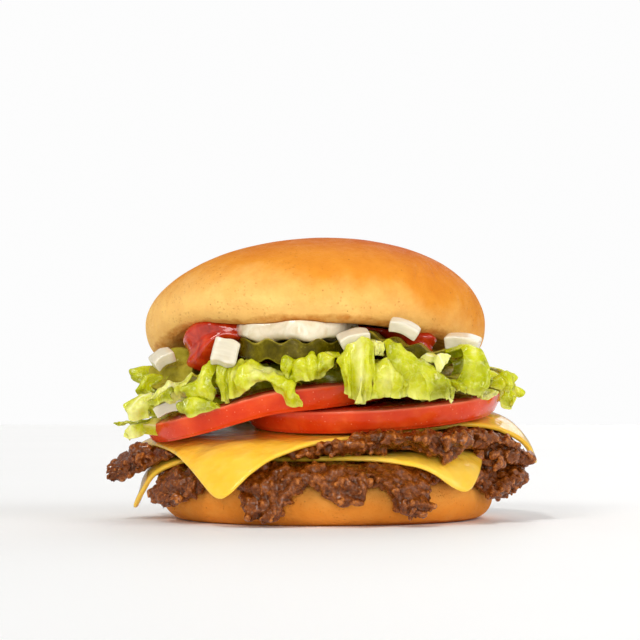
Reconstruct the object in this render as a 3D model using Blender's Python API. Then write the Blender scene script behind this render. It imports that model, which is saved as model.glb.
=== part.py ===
"""A double cheeseburger, built up the way it is stacked.

From the bottom: heel, lower patty, lower cheese, upper patty, upper cheese, two tomato
slices, a heap of lettuce, crinkle-cut pickles, diced onion, ketchup, mayonnaise and crown.
Units are metres, +Z is up and the front of the burger faces -Y. The origin is the centre
of the heel's flat base. Directions round the burger are in degrees: 0 is +X, -90 the front.
"""

import math

import bmesh
import bpy
from mathutils import Euler, Matrix, Vector, noise

MM = 0.001
GAP = 0.4 * MM

# The buns
HEEL_RADIUS = 53.3 * MM
HEEL_FOOT_RADIUS = 45.0 * MM
HEEL_HEIGHT = 13.6 * MM
HEEL_SHOULDER = 6.3 * MM
CROWN_RADIUS = 55.0 * MM
CROWN_DOME = 27.5 * MM
CROWN_BELT = 10.0 * MM
CROWN_LIP_RADIUS = 48.5 * MM
CROWN_HOLLOW = 8.0 * MM
CROWN_ARCH = 2.2 * MM
CROWN_LEAN = 0.085
CROWN_PLACE = Vector((-4.0 * MM, 0.0, 51.5 * MM))
CROWN_TILT = math.radians(9.0)
CROWN_LIP_LIFTS = [(-140, 20, 3.2 * MM)]

# The patties and the cheese lie on the heel and bend down over its rim
RIM_RADIUS = 47.0 * MM
LOWER_PATTY_THICKNESS = 6.4 * MM
UPPER_PATTY_THICKNESS = 5.9 * MM
CHEESE_THICKNESS = 2.1 * MM
PATTY_BEND_SHARE = 0.5
PATTY_SLACK = 0.7 * MM
PATTY_LUMP = 1.3 * MM
PATTY_BROW = 1.8 * MM
CHEESE_SQUARENESS = 16
LEVEL = (0.0, 0.0)
LOWER_CHEESE_SLOPE = (0.03, 0.03)
UPPER_CHEESE_SLOPE = (0.06, 0.11)

# The tomato slices
TOMATO_THICKNESS = 7.6 * MM
TOMATO_TAPER = 2.6 * MM
RIGHT_TOMATO_RADIUS = 41.0 * MM
RIGHT_TOMATO_CENTRE = (14.5 * MM, -7.0 * MM)
LEFT_TOMATO_RADIUS = 41.5 * MM
LEFT_TOMATO_CENTRE = (-16.5 * MM, -9.0 * MM)
LEFT_TOMATO_FOLD_X = -17.0 * MM
LEFT_TOMATO_FOLD_WIDTH = 3.5 * MM
LEFT_TOMATO_DROP = 0.28

# The toppings
LEAF_THICKNESS = 0.9 * MM
PICKLE_WAVE = 0.8 * MM
PICKLE_WAVELENGTH = 7.6 * MM
ONION_BOW = 0.9 * MM

LAYER_SEGMENTS = 60
BUN_SEGMENTS = 40
TOMATO_STRIPS = 26
FLAT_ANGLE = math.radians(1.0)


def clear_scene():
    for obj in list(bpy.data.objects):
        bpy.data.objects.remove(obj, do_unlink=True)


def material(name, colour, roughness):
    made = bpy.data.materials.new(name)
    made.use_nodes = True
    shader = made.node_tree.nodes["Principled BSDF"]
    shader.inputs["Base Color"].default_value = (*colour, 1.0)
    shader.inputs["Roughness"].default_value = roughness
    shader.inputs["Metallic"].default_value = 0.0
    return made


def make_materials():
    return {
        "crust": material("crust", (0.80, 0.42, 0.12), 0.5),
        "beef": material("beef", (0.16, 0.07, 0.035), 0.4),
        "cheese": material("cheese", (0.95, 0.58, 0.07), 0.3),
        "tomato": material("tomato", (0.65, 0.06, 0.02), 0.2),
        "lettuce": material("lettuce", (0.50, 0.55, 0.03), 0.4),
        "pickle": material("pickle", (0.22, 0.20, 0.02), 0.3),
        "onion": material("onion", (0.85, 0.80, 0.66), 0.3),
        "ketchup": material("ketchup", (0.45, 0.03, 0.01), 0.15),
        "mayonnaise": material("mayonnaise", (0.88, 0.83, 0.70), 0.25),
    }


def add_object(name, bm, look, place=None):
    """A named object from a bmesh, its faces triangulated and pointing out."""
    bmesh.ops.triangulate(bm, faces=bm.faces[:])
    bmesh.ops.recalc_face_normals(bm, faces=bm.faces[:])
    mesh = bpy.data.meshes.new(name)
    bm.to_mesh(mesh)
    bm.free()
    mesh.shade_smooth()
    mesh.set_sharp_from_angle(angle=math.radians(50))
    mesh.materials.append(look)
    obj = bpy.data.objects.new(name, mesh)
    if place is not None:
        obj.matrix_world = place
    bpy.context.scene.collection.objects.link(obj)
    return obj


def bump(point, size, seed):
    """Smooth noise from about -1 to 1, with bumps of the given size."""
    return noise.noise(Vector(point) / size + Vector((seed, seed * 1.7, seed * 0.6)))


def lobes_at(angle, lobes):
    """Sum of smooth swellings round a rim, each a (direction, half width, size) in degrees and metres."""
    total = 0.0
    for direction, half_width, size in lobes:
        away = (math.degrees(angle) - direction + 180) % 360 - 180
        total += size * math.exp(-(abs(away / half_width) ** 2.6))
    return total


def ring_angles(count):
    return [2 * math.pi * i / count for i in range(count)]


def ring_solid(rings, start, end):
    """A closed body from rings of points. start and end close it: a point for a fan, or None for a flat face."""
    bm = bmesh.new()
    made = [[bm.verts.new(p) for p in ring] for ring in rings]
    count = len(rings[0])
    for lower, upper in zip(made, made[1:]):
        for i in range(count):
            j = (i + 1) % count
            bm.faces.new((lower[i], lower[j], upper[j], upper[i]))
    for ring, centre in ((made[0], start), (made[-1], end)):
        if centre is None:
            bm.faces.new(ring)
            continue
        hub = bm.verts.new(centre)
        for i in range(count):
            bm.faces.new((ring[i], ring[(i + 1) % count], hub))
    return bm


def sheet_solid(upper, lower):
    """A closed body between two grids of points of the same size, both split alike."""
    bm = bmesh.new()
    rows, columns = len(upper), len(upper[0])
    top = [[bm.verts.new(p) for p in row] for row in upper]
    under = [[bm.verts.new(p) for p in row] for row in lower]
    for i in range(rows - 1):
        for j in range(columns - 1):
            for grid in (top, under):
                a, b = grid[i][j], grid[i + 1][j]
                c, d = grid[i + 1][j + 1], grid[i][j + 1]
                bm.faces.new((a, b, c))
                bm.faces.new((a, c, d))
    border = [(i, 0) for i in range(rows)]
    border += [(rows - 1, j) for j in range(1, columns)]
    border += [(i, columns - 1) for i in range(rows - 2, -1, -1)]
    border += [(0, j) for j in range(columns - 2, 0, -1)]
    for (i, j), (k, m) in zip(border, border[1:] + border[:1]):
        bm.faces.new((top[i][j], top[k][m], under[k][m], under[i][j]))
    return bm


def apply_modifiers(obj):
    """Puts the evaluated mesh in place of the object's own."""
    bpy.context.view_layer.update()
    graph = bpy.context.evaluated_depsgraph_get()
    result = bpy.data.meshes.new_from_object(obj.evaluated_get(graph))
    obj.modifiers.clear()
    obj.data = result


def keep_largest_body(obj):
    """Drops the loose scraps that a cut leaves."""
    bm = bmesh.new()
    bm.from_mesh(obj.data)
    left, bodies = set(bm.verts), []
    while left:
        stack, body = [left.pop()], []
        while stack:
            vertex = stack.pop()
            body.append(vertex)
            for edge in vertex.link_edges:
                other = edge.other_vert(vertex)
                if other in left:
                    left.discard(other)
                    stack.append(other)
        bodies.append(body)
    bodies.sort(key=len, reverse=True)
    for body in bodies[1:]:
        bmesh.ops.delete(bm, geom=body, context="VERTS")
    bm.to_mesh(obj.data)
    bm.free()


def grown_copy(obj, distance):
    """A copy grown outwards along its normals, to cut its neighbours with."""
    grown = obj.copy()
    grown.data = obj.data.copy()
    bm = bmesh.new()
    bm.from_mesh(grown.data)
    bm.normal_update()
    moves = [v.normal * distance for v in bm.verts]
    for vertex, move in zip(bm.verts, moves):
        vertex.co += move
    bm.to_mesh(grown.data)
    bm.free()
    grown.hide_render = True
    grown.display_type = "WIRE"
    bpy.context.scene.collection.objects.link(grown)
    return grown


def carve(obj, neighbours, distance=0.75 * GAP):
    """Cuts an object back from its neighbours, so that a small gap is left between them."""
    for neighbour in neighbours:
        cutter = grown_copy(neighbour, distance)
        modifier = obj.modifiers.new("clearance", "BOOLEAN")
        modifier.operation = "DIFFERENCE"
        modifier.solver = "MANIFOLD"
        modifier.object = cutter
        apply_modifiers(obj)
        bpy.data.objects.remove(cutter, do_unlink=True)
        keep_largest_body(obj)


def thin_out(obj, share):
    """Leaves an object with about this share of its triangles."""
    modifier = obj.modifiers.new("fewer triangles", "DECIMATE")
    modifier.ratio = share
    apply_modifiers(obj)
    keep_largest_body(obj)


def join_flat_faces(obj, angle):
    """Joins neighbouring triangles that a cut left within this angle of each other."""
    bm = bmesh.new()
    bm.from_mesh(obj.data)
    bmesh.ops.dissolve_limit(bm, angle_limit=angle, verts=bm.verts[:], edges=bm.edges[:])
    bmesh.ops.triangulate(bm, faces=bm.faces[:])
    bm.to_mesh(obj.data)
    bm.free()


def fuse(obj, parts):
    """Joins the parts to the object with one union, and removes them."""
    group = bpy.data.collections.new("parts to fuse")
    bpy.context.scene.collection.children.link(group)
    for part in parts:
        group.objects.link(part)
    modifier = obj.modifiers.new("fuse", "BOOLEAN")
    modifier.operation = "UNION"
    modifier.solver = "MANIFOLD"
    modifier.operand_type = "COLLECTION"
    modifier.collection = group
    apply_modifiers(obj)
    for part in parts:
        bpy.data.objects.remove(part, do_unlink=True)
    bpy.data.collections.remove(group)
    keep_largest_body(obj)


def soft_round(angle, seed, amount):
    """A round outline's gentle unevenness, as a factor near 1."""
    return 1 + amount * (math.sin(2 * angle + seed) + 0.7 * math.sin(3 * angle + 2.3 * seed))


def make_heel(looks):
    """The bottom bun: a flat base, a round belly and a cut top."""
    belly = HEEL_HEIGHT - HEEL_SHOULDER
    flat_top = HEEL_RADIUS - HEEL_SHOULDER
    profile = [
        (HEEL_FOOT_RADIUS, 0.0),
        (HEEL_FOOT_RADIUS + 4.5 * MM, 0.8 * MM),
        (HEEL_RADIUS - 1.3 * MM, 3.2 * MM),
        (HEEL_RADIUS, belly),
    ]
    for step in range(1, 4):
        turn = math.radians(30 * step)
        profile.append(
            (flat_top + HEEL_SHOULDER * math.cos(turn), belly + HEEL_SHOULDER * math.sin(turn))
        )
    rings = []
    for radius, height in profile:
        ring = []
        for angle in ring_angles(BUN_SEGMENTS):
            reach = radius * soft_round(angle, 0.4, 0.004)
            ring.append((reach * math.cos(angle), reach * math.sin(angle), height))
        rings.append(ring)
    bm = ring_solid(rings, None, (0.0, 0.0, HEEL_HEIGHT))
    return add_object("heel", bm, looks["crust"])


def crown_matrix():
    return Matrix.Translation(CROWN_PLACE) @ Euler((-CROWN_TILT, 0.0, 0.0)).to_matrix().to_4x4()


def crown_underside(x, y):
    """Height of the crown's cut face, which the filling presses up in the middle and at the front."""
    out = math.hypot(x, y) / CROWN_LIP_RADIUS
    middle = CROWN_HOLLOW * max(0.0, 1 - out**2)
    front = CROWN_ARCH * max(0.0, -y / CROWN_LIP_RADIUS) ** 1.5
    return middle + front + lobes_at(math.atan2(y, x), CROWN_LIP_LIFTS) * out**3


def make_crown(looks):
    """The top bun: an oval dome on a round lip, with its cut face pressed up a little."""
    side = CROWN_RADIUS - CROWN_LIP_RADIUS
    profile = [(0.6 * CROWN_LIP_RADIUS, None), (0.86 * CROWN_LIP_RADIUS, None)]
    for degrees in (0, 30, 60):
        turn = math.radians(degrees)
        profile.append((CROWN_LIP_RADIUS + side * math.sin(turn), CROWN_BELT * (1 - math.cos(turn))))
    for degrees in (0, 16, 32, 48, 64, 80):
        turn = math.radians(degrees)
        profile.append((CROWN_RADIUS * math.cos(turn), CROWN_BELT + CROWN_DOME * math.sin(turn)))
    rings = []
    for radius, height in profile:
        ring = []
        for angle in ring_angles(BUN_SEGMENTS):
            reach = radius * soft_round(angle, 1.1, 0.006)
            x, y = reach * math.cos(angle), reach * math.sin(angle)
            if height is None:
                ring.append((x, y, crown_underside(x, y)))
                continue
            above = max(0.0, height - CROWN_BELT) * (1 + CROWN_LEAN * x / CROWN_RADIUS)
            low = min(height, CROWN_BELT)
            arch = CROWN_ARCH * max(0.0, -math.sin(angle)) ** 1.5 + lobes_at(angle, CROWN_LIP_LIFTS)
            ring.append((x, y, low + arch * (1 - low / CROWN_BELT) + above))
        rings.append(ring)
    bottom = (0.0, 0.0, crown_underside(0.0, 0.0))
    bm = ring_solid(rings, bottom, (0.0, 0.0, CROWN_BELT + CROWN_DOME))
    return add_object("crown", bm, looks["crust"], crown_matrix())


class Bed:
    """What a layer lies on: flat out to the rim, then bent down over it to a hang angle."""

    def __init__(self, height, bend, slope, hang, lobes=()):
        self.height = height
        self.bend = bend
        self.slope = slope
        self.hang = hang
        self.lobes = lobes

    def turn(self, path, angle):
        """How far the bed has turned down at a path length from the axis in one direction."""
        hang = math.radians(self.hang + lobes_at(angle, self.lobes))
        return min(max(0.0, path - RIM_RADIUS) / self.bend, hang)

    def point(self, path, angle, lift):
        """The point at a path length from the axis in one direction, lifted off the bed."""
        hang = math.radians(self.hang + lobes_at(angle, self.lobes))
        turn = self.turn(path, angle)
        straight = max(0.0, path - RIM_RADIUS - self.bend * hang)
        radius = min(path, RIM_RADIUS) + (self.bend + lift) * math.sin(turn)
        radius += straight * math.cos(hang)
        drop = self.bend * (1 - math.cos(turn)) + straight * math.sin(hang)
        x, y = radius * math.cos(angle), radius * math.sin(angle)
        z = self.height - drop + lift * math.cos(turn) + self.slope[0] * x + self.slope[1] * y
        return Vector((x, y, z))


LOWER_HANG = [(-150, 22, -14), (-16, 22, -24)]
LOWER_PATTY_BED = Bed(HEEL_HEIGHT + GAP, HEEL_SHOULDER + 5 * GAP, LEVEL, 74, LOWER_HANG)
LOWER_CHEESE_BED = Bed(
    LOWER_PATTY_BED.height + LOWER_PATTY_THICKNESS + GAP,
    LOWER_PATTY_BED.bend + PATTY_BEND_SHARE * LOWER_PATTY_THICKNESS + 2 * GAP,
    LOWER_CHEESE_SLOPE,
    72,
    LOWER_HANG,
)
UPPER_PATTY_BED = Bed(
    LOWER_CHEESE_BED.height + CHEESE_THICKNESS + 1.3 * GAP,
    LOWER_CHEESE_BED.bend + CHEESE_THICKNESS + 2.8 * GAP,
    LOWER_CHEESE_SLOPE,
    38,
    [(-172, 20, -10), (-15, 14, 6)],
)
UPPER_CHEESE_BED = Bed(
    UPPER_PATTY_BED.height + UPPER_PATTY_THICKNESS + GAP,
    UPPER_PATTY_BED.bend + PATTY_BEND_SHARE * UPPER_PATTY_THICKNESS + 1.5 * GAP,
    UPPER_CHEESE_SLOPE,
    45,
    [(-119, 28, 22), (-5, 32, 22), (175, 30, -19)],
)

# Each lobe of a ragged edge is its direction, its half width and how far it reaches
LOWER_PATTY_LOBES = [
    (-10, 9, 9.0 * MM),
    (-24, 7, 8.5 * MM),
    (-64, 8, 11.5 * MM),
    (-84.5, 8, 8.5 * MM),
    (-109, 10, 12.5 * MM),
    (-148, 14, 11 * MM),
    (168, 8, 5 * MM),
    (140, 10, 8 * MM),
    (108, 8, 6 * MM),
    (76, 10, 9 * MM),
    (40, 9, 7 * MM),
    (14, 7, 3 * MM),
]
UPPER_PATTY_LOBES = [
    (-172, 11, 20 * MM),
    (-76, 5, 1.5 * MM),
    (-50, 7.5, 8 * MM),
    (-30, 8, 5 * MM),
    (-15, 9, 13.5 * MM),
    (44, 9, 9 * MM),
    (88, 12, 7 * MM),
    (132, 10, 9 * MM),
]
LOWER_PATTY_SWELLS = [(-9, 9, 3.5 * MM)]
PATTY_REACH = 51.8 * MM

# Each corner of a cheese slice is its direction and its distance along the slice
LOWER_CHEESE_CORNERS = [(-47, 68 * MM), (35, 64 * MM), (110, 66 * MM), (-173, 73 * MM), (-92, 49 * MM)]
UPPER_CHEESE_CORNERS = [(-118, 74 * MM), (-5, 77 * MM), (72, 64 * MM), (163, 71 * MM)]


def slice_reach(angle, corners):
    """Distance from the axis to the edge of a cheese slice, its corners rounded off."""
    points = [Vector((r * math.cos(math.radians(a)), r * math.sin(math.radians(a)))) for a, r in corners]
    way = Vector((math.cos(angle), math.sin(angle)))
    total = 0.0
    for here, after in zip(points, points[1:] + points[:1]):
        along = (after - here).normalized()
        outward = Vector((along.y, -along.x))
        total += max(0.0, outward.dot(way) / outward.dot(here)) ** CHEESE_SQUARENESS
    return total ** (-1 / CHEESE_SQUARENESS)


def layer_path(length, share):
    """Path length at a share of the way from a layer's flat middle out to its edge."""
    start = min(RIM_RADIUS, 0.8 * length)
    return start + (length - start) * share


def make_patty(name, bed, thickness, above, corners, lobes, swells, seed, looks):
    """A thin griddled patty with ragged lobes over the rim; its top is shaped to the slice that lies on it."""
    steps = [(0.0, 0.0), (0.33, 0.0), (0.66, 0.0), (0.93, 0.08)]
    steps += [(1.0, 0.5), (0.94, 0.95), (0.66, 1.0), (0.33, 1.0), (0.0, 1.0)]
    rings = []
    for share, rise in steps:
        ring = []
        for angle in ring_angles(LAYER_SEGMENTS):
            way = Vector((math.cos(angle), math.sin(angle), 0.0))
            ragged = bump(way, 0.16, seed) * 2.0 * MM + bump(way, 0.07, seed + 9) * 1.6 * MM
            length = PATTY_REACH + lobes_at(angle, lobes) + ragged
            path = layer_path(length, share)
            flat = min(path, RIM_RADIUS)
            wedge = (above.slope[0] - bed.slope[0]) * flat * way.x
            wedge += (above.slope[1] - bed.slope[1]) * flat * way.y
            turn = bed.turn(path, angle)
            bent = PATTY_BEND_SHARE * thickness
            body = (thickness - bent + wedge) * math.cos(turn) + bent - PATTY_SLACK * math.sin(turn)
            covered = max(RIM_RADIUS, slice_reach(angle, corners)) + 1.5 * MM
            clear = min(1.0, max(0.0, (path - covered) / (3 * MM)))
            lumps = bump(bed.point(path, angle, 0.0), 7 * MM, seed + 3) * PATTY_LUMP * min(1.0, rise)
            brow = (PATTY_BROW + lobes_at(angle, swells)) * rise
            ring.append(bed.point(path, angle, rise * body + (brow + lumps) * clear))
        rings.append(ring)
    bm = ring_solid(rings, bed.point(0.0, 0.0, 0.0), bed.point(0.0, 0.0, thickness))
    return add_object(name, bm, looks["beef"])


def make_cheese(name, bed, corners, looks):
    """A square slice, softened so that its corners hang over the rim."""
    steps = [(0.0, 0.0), (0.2, 0.0), (0.42, 0.0), (0.68, 0.0), (0.97, 0.1)]
    steps += [(0.99, 0.9), (0.68, 1.0), (0.42, 1.0), (0.2, 1.0), (0.0, 1.0)]
    rings = []
    for share, rise in steps:
        ring = []
        for angle in ring_angles(LAYER_SEGMENTS):
            path = layer_path(slice_reach(angle, corners), share)
            ring.append(bed.point(path, angle, rise * CHEESE_THICKNESS))
        rings.append(ring)
    bm = ring_solid(rings, bed.point(0.0, 0.0, 0.0), bed.point(0.0, 0.0, CHEESE_THICKNESS))
    return add_object(name, bm, looks["cheese"])


def right_tomato_bed(x, y):
    """Height of the face that the right slice lies on: the upper cheese."""
    height = UPPER_CHEESE_BED.height + CHEESE_THICKNESS + GAP
    return height + UPPER_CHEESE_SLOPE[0] * x + UPPER_CHEESE_SLOPE[1] * y


def left_tomato_bed(x, y):
    """Height under the left slice, which lies on the right one and folds down off its left side."""
    share = (LEFT_TOMATO_FOLD_X - x) / LEFT_TOMATO_FOLD_WIDTH
    fold = LEFT_TOMATO_FOLD_WIDTH * math.log1p(math.exp(share))
    return right_tomato_bed(x, y) + TOMATO_THICKNESS + GAP - LEFT_TOMATO_DROP * fold


def make_tomato(name, bed, centre, radius, seed, looks):
    """A tomato slice: its skin runs in towards the bottom, and both cut faces follow its bed."""
    upper, lower = [], []
    for i in range(TOMATO_STRIPS + 1):
        angle = math.pi * (i + 0.15 * math.sin(2 * math.pi * i / TOMATO_STRIPS)) / TOMATO_STRIPS
        across, along = -math.cos(angle), max(0.06, math.sin(angle))
        for rows, size, rise in ((upper, radius, 1.0), (lower, radius - TOMATO_TAPER, 0.0)):
            row = []
            for side in (-1, 1):
                edge = size * soft_round(side * angle, seed, 0.006)
                x, y = centre[0] + edge * across, centre[1] + side * edge * along
                row.append((x, y, bed(x, y) + rise * TOMATO_THICKNESS))
            rows.append(row)
    return add_object(name, sheet_solid(upper, lower), looks["tomato"])


# Each pickle: name, place in mm, tilt about X, Y and Z in degrees, radius and thickness in mm
PICKLES = [
    ("pickle_1", (-11.0, -35.5, 53.4), (4, 0, 2), 16.0, 6.2),
    ("pickle_2", (-47.8, -25.5, 46.3), (0, 55, -120), 8.4, 4.4),
    ("pickle_3", (21.0, -33.5, 54.4), (3, 15, -6), 16.0, 4.6),
    ("pickle_4", (35.2, -29.0, 45.0), (8, 11, -30), 12.5, 4.2),
    ("pickle_5", (-23.0, 44.5, 40.6), (-20, 6, 35), 11.0, 4.2),
    ("pickle_6", (24.2, 43.8, 42.4), (-10, -3, 80), 11.0, 4.2),
]


def place(position, degrees):
    turn = Euler([math.radians(d) for d in degrees]).to_matrix().to_4x4()
    return Matrix.Translation(Vector(position) * MM) @ turn


def make_pickle(name, position, degrees, radius, thickness, looks):
    """A round pickle slice with crinkle-cut faces, its waves running front to back."""
    radius, half_thick = radius * MM, thickness * MM / 2
    count = 4 * round(2 * radius / PICKLE_WAVELENGTH) + 2
    upper, lower = [], []
    for i in range(count + 1):
        x = radius * math.sin(math.pi * (i / count - 0.5)) * 0.985
        half = math.sqrt(radius**2 - x**2)
        wave = PICKLE_WAVE * math.cos(2 * math.pi * x / PICKLE_WAVELENGTH)
        upper.append([(x, side * half, wave + half_thick) for side in (-1, 1)])
        lower.append([(x, side * half, wave - half_thick) for side in (-1, 1)])
    return add_object(name, sheet_solid(upper, lower), looks["pickle"], place(position, degrees))


# Each dice of onion: name, place in mm, tilt in degrees, and length, depth and thickness in mm
ONIONS = [
    ("onion_1", (-51.0, -31.0, 50.4), (24, -30, 16), (7.4, 5.4, 3.6)),
    ("onion_2", (-31.0, -49.0, 51.8), (66, 14, 2), (8.0, 7.8, 4.0)),
    ("onion_3", (7.8, -50.2, 56.0), (20, -14, 6), (9.8, 6.5, 3.4)),
    ("onion_4", (22.8, -49.5, 59.0), (24, 22, -4), (9.6, 4.6, 3.4)),
    ("onion_5", (41.3, -37.0, 55.2), (14, 8, -14), (11.0, 7.0, 3.8)),
    ("onion_6", (-47.8, -35.6, 35.3), (9, -15, -18), (10.2, 6.0, 3.4)),
    ("onion_7", (-2.5, 48.5, 40.3), (-24, 6, 30), (9.0, 7.0, 3.6)),
    ("onion_8", (42.0, 30.5, 44.0), (-14, 10, -35), (9.5, 7.0, 3.6)),
]


def make_onion(name, position, degrees, size, looks):
    """A dice of onion: a short stretch of one curved layer, a little wider outside."""
    length, depth, thick = (s * MM for s in size)
    steps = 4
    upper, lower = [], []
    for i in range(steps + 1):
        across = 2 * i / steps - 1
        bow = ONION_BOW * (1 - across**2)
        x = across * length / 2
        upper.append([(x, s * depth / 2, bow + thick / 2) for s in (-1, 1)])
        lower.append([(0.86 * x, s * depth / 2, bow - thick / 2) for s in (-1, 1)])
    return add_object(name, sheet_solid(upper, lower), looks["onion"], place(position, degrees))


KETCHUP_REACH = 36.0 * MM
KETCHUP_SKIN = 1.4 * MM
KETCHUP_RUNS = [(-137, 20, 14.5 * MM), (-44, 8, 14 * MM), (100, 14, 9 * MM)]
KETCHUP_DROPS = [(-140, 11, 12 * MM), (-118, 8, 3.5 * MM), (-44, 7, 6.5 * MM), (100, 14, 1.5 * MM)]


def make_ketchup(looks):
    """The ketchup spread under the crown, with the runs that swell out at its front."""
    shares = [(0.6, 0.6), (0.84, 1.0), (0.96, 0.9), (1.0, 0.5), (0.97, 0.08), (0.7, 0.0)]
    rings = []
    for share, down in shares:
        ring = []
        for angle in ring_angles(40):
            radius = share * (KETCHUP_REACH + lobes_at(angle, KETCHUP_RUNS))
            swell = min(1.0, max(0.0, (radius - 30 * MM) / (9 * MM)))
            thick = KETCHUP_SKIN + lobes_at(angle, KETCHUP_DROPS) * swell
            x, y = radius * math.cos(angle), radius * math.sin(angle)
            ring.append((x, y, crown_underside(x, y) - 2 * GAP - down * thick))
        rings.append(ring)
    skin = crown_underside(0.0, 0.0) - 2 * GAP
    bm = ring_solid(rings, (0.0, 0.0, skin - KETCHUP_SKIN), (0.0, 0.0, skin))
    return add_object("ketchup", bm, looks["ketchup"], crown_matrix())


MAYO_CENTRE = (-5.6 * MM, -36.0 * MM)
MAYO_RADII = (18.0 * MM, 14.5 * MM)
MAYO_THICKNESS = 4.0 * MM


def make_mayonnaise(looks):
    """A spoonful of mayonnaise pressed flat under the front of the crown."""
    shares = [(0.7, 1.0), (0.95, 0.8), (1.0, 0.45), (0.96, 0.1), (0.7, 0.0)]
    rings = []
    for share, down in shares:
        ring = []
        for angle in ring_angles(24):
            wavy = 1 + 0.06 * math.sin(4 * angle + 0.6) + 0.03 * math.sin(7 * angle)
            x = MAYO_CENTRE[0] + MAYO_RADII[0] * share * wavy * math.cos(angle)
            y = MAYO_CENTRE[1] + MAYO_RADII[1] * share * wavy * math.sin(angle)
            ring.append((x, y, crown_underside(x, y) - GAP - down * MAYO_THICKNESS))
        rings.append(ring)
    top = crown_underside(*MAYO_CENTRE) - GAP
    bm = ring_solid(rings, (*MAYO_CENTRE, top - MAYO_THICKNESS), (*MAYO_CENTRE, top))
    return add_object("mayonnaise", bm, looks["mayonnaise"], crown_matrix())


LETTUCE_CORE_RADIUS = 39.0 * MM
LETTUCE_CORE_TOP = 49.0 * MM
LETTUCE_CORE_BOTTOM = 38.0 * MM

# Each leaf: direction and half width in degrees, sideways sweep of its tip in degrees,
# reach and height of its crest in mm, reach and height of its tip in mm,
# number of waves, their depth in mm, and phase
LEAVES = [
    (-160, 7, -13, 59, 47.0, 65, 44.5, 1.0, 1.2, 0.2),
    (-163, 10, -14, 59, 42.5, 67, 33.0, 1.5, 2.0, 1.4),
    (-166, 8, -12, 60, 37.0, 68, 27.0, 1.5, 1.4, 0.4),
    (-140, 10, 0, 58, 43.0, 60, 37.5, 2.0, 1.6, 0.0),
    (-131, 9, 2, 54, 48.5, 57, 34.0, 1.5, 2.0, 2.2),
    (-121, 8, 3, 50, 48.0, 53, 38.5, 1.5, 2.0, 0.9),
    (-110, 12, 5, 50, 48.5, 53, 39.0, 1.5, 2.0, 3.1),
    (-97, 11, 2, 49, 51.0, 51, 43.5, 2.5, 2.2, 0.5),
    (-75, 13, 0, 52, 54.5, 54, 38.0, 2.0, 2.2, 1.9),
    (-57, 12, 4, 53, 53.0, 55, 38.5, 1.5, 2.2, 4.0),
    (-38, 9, 1, 54, 52.5, 56, 39.0, 1.5, 2.0, 0.4),
    (-18, 9, 12, 56, 46.5, 62, 36.5, 1.5, 2.4, 2.7),
    (12, 10, 0, 54, 47.5, 58, 39.0, 2.0, 2.4, 1.0),
    (37, 12, 3, 52, 46.5, 57, 38.5, 2.5, 2.4, 5.0),
    (64, 12, -3, 50, 43.5, 55, 38.0, 2.5, 2.4, 2.0),
    (92, 12, 3, 50, 41.5, 54, 38.5, 2.0, 2.4, 0.1),
    (120, 12, 0, 52, 43.0, 56, 37.5, 2.5, 2.4, 3.3),
    (147, 12, -3, 55, 44.0, 60, 36.0, 2.0, 2.4, 1.6),
]
LEAF_ROOT_REACH = 32.0 * MM
LEAF_ROOT_LOWEST = 39.5 * MM
LEAF_ROOT_HIGHEST = 47.8 * MM
LEAF_ROOT_STAGGER = 1.3 * MM
LEAF_COLUMNS = 6
LEAF_ROWS = 4
LEAF_NARROWING = 0.25


def leaf_point(index, u, v):
    """A point of a leaf: u runs across it from -1 to 1, and v from its root to its torn edge."""
    leaf = LEAVES[index]
    direction, half_width, sweep, crest_reach, crest, reach, tip, waves, depth, phase = leaf
    length = v * (1 + 0.07 * math.sin(5 * u + phase) * v)
    root = min(LEAF_ROOT_HIGHEST, max(LEAF_ROOT_LOWEST, crest * MM)) - LEAF_ROOT_STAGGER * (index % 2)
    ends = [(LEAF_ROOT_REACH, root), (crest_reach * MM, crest * MM), (reach * MM, tip * MM)]
    parts = [(1 - length) * (1 - 2 * length), 4 * length * (1 - length), length * (2 * length - 1)]
    radius = sum(part * end[0] for part, end in zip(parts, ends))
    height = sum(part * end[1] for part, end in zip(parts, ends))
    ruffle = depth * MM * math.sin(math.pi * waves * u + phase) * max(0.0, v) ** 1.5
    steep = min(1.0, max(0.0, (length - 0.35) / 0.5))
    radius += ruffle * steep
    height += ruffle * (1 - steep)
    narrow = 1 - LEAF_NARROWING * max(0.0, v - 0.55) / 0.45
    angle = math.radians(direction + half_width * u * narrow + sweep * v**2)
    return Vector((radius * math.cos(angle), radius * math.sin(angle), height))


def make_leaf(index, looks):
    """One torn piece of leaf: a thin wavy solid."""
    us = [2 * i / (LEAF_COLUMNS - 1) - 1 for i in range(LEAF_COLUMNS)]
    vs = [j / (LEAF_ROWS - 1) for j in range(LEAF_ROWS)]
    upper, lower = [], []
    for u in us:
        row_up, row_down = [], []
        for v in vs:
            here = leaf_point(index, u, v)
            across = leaf_point(index, u + 0.02, v) - leaf_point(index, u - 0.02, v)
            along = leaf_point(index, u, v + 0.02) - leaf_point(index, u, v - 0.02)
            normal = along.cross(across).normalized() * (LEAF_THICKNESS / 2)
            row_up.append(here + normal)
            row_down.append(here - normal)
        upper.append(row_up)
        lower.append(row_down)
    return add_object(f"leaf part {index}", sheet_solid(upper, lower), looks["lettuce"])


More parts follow.
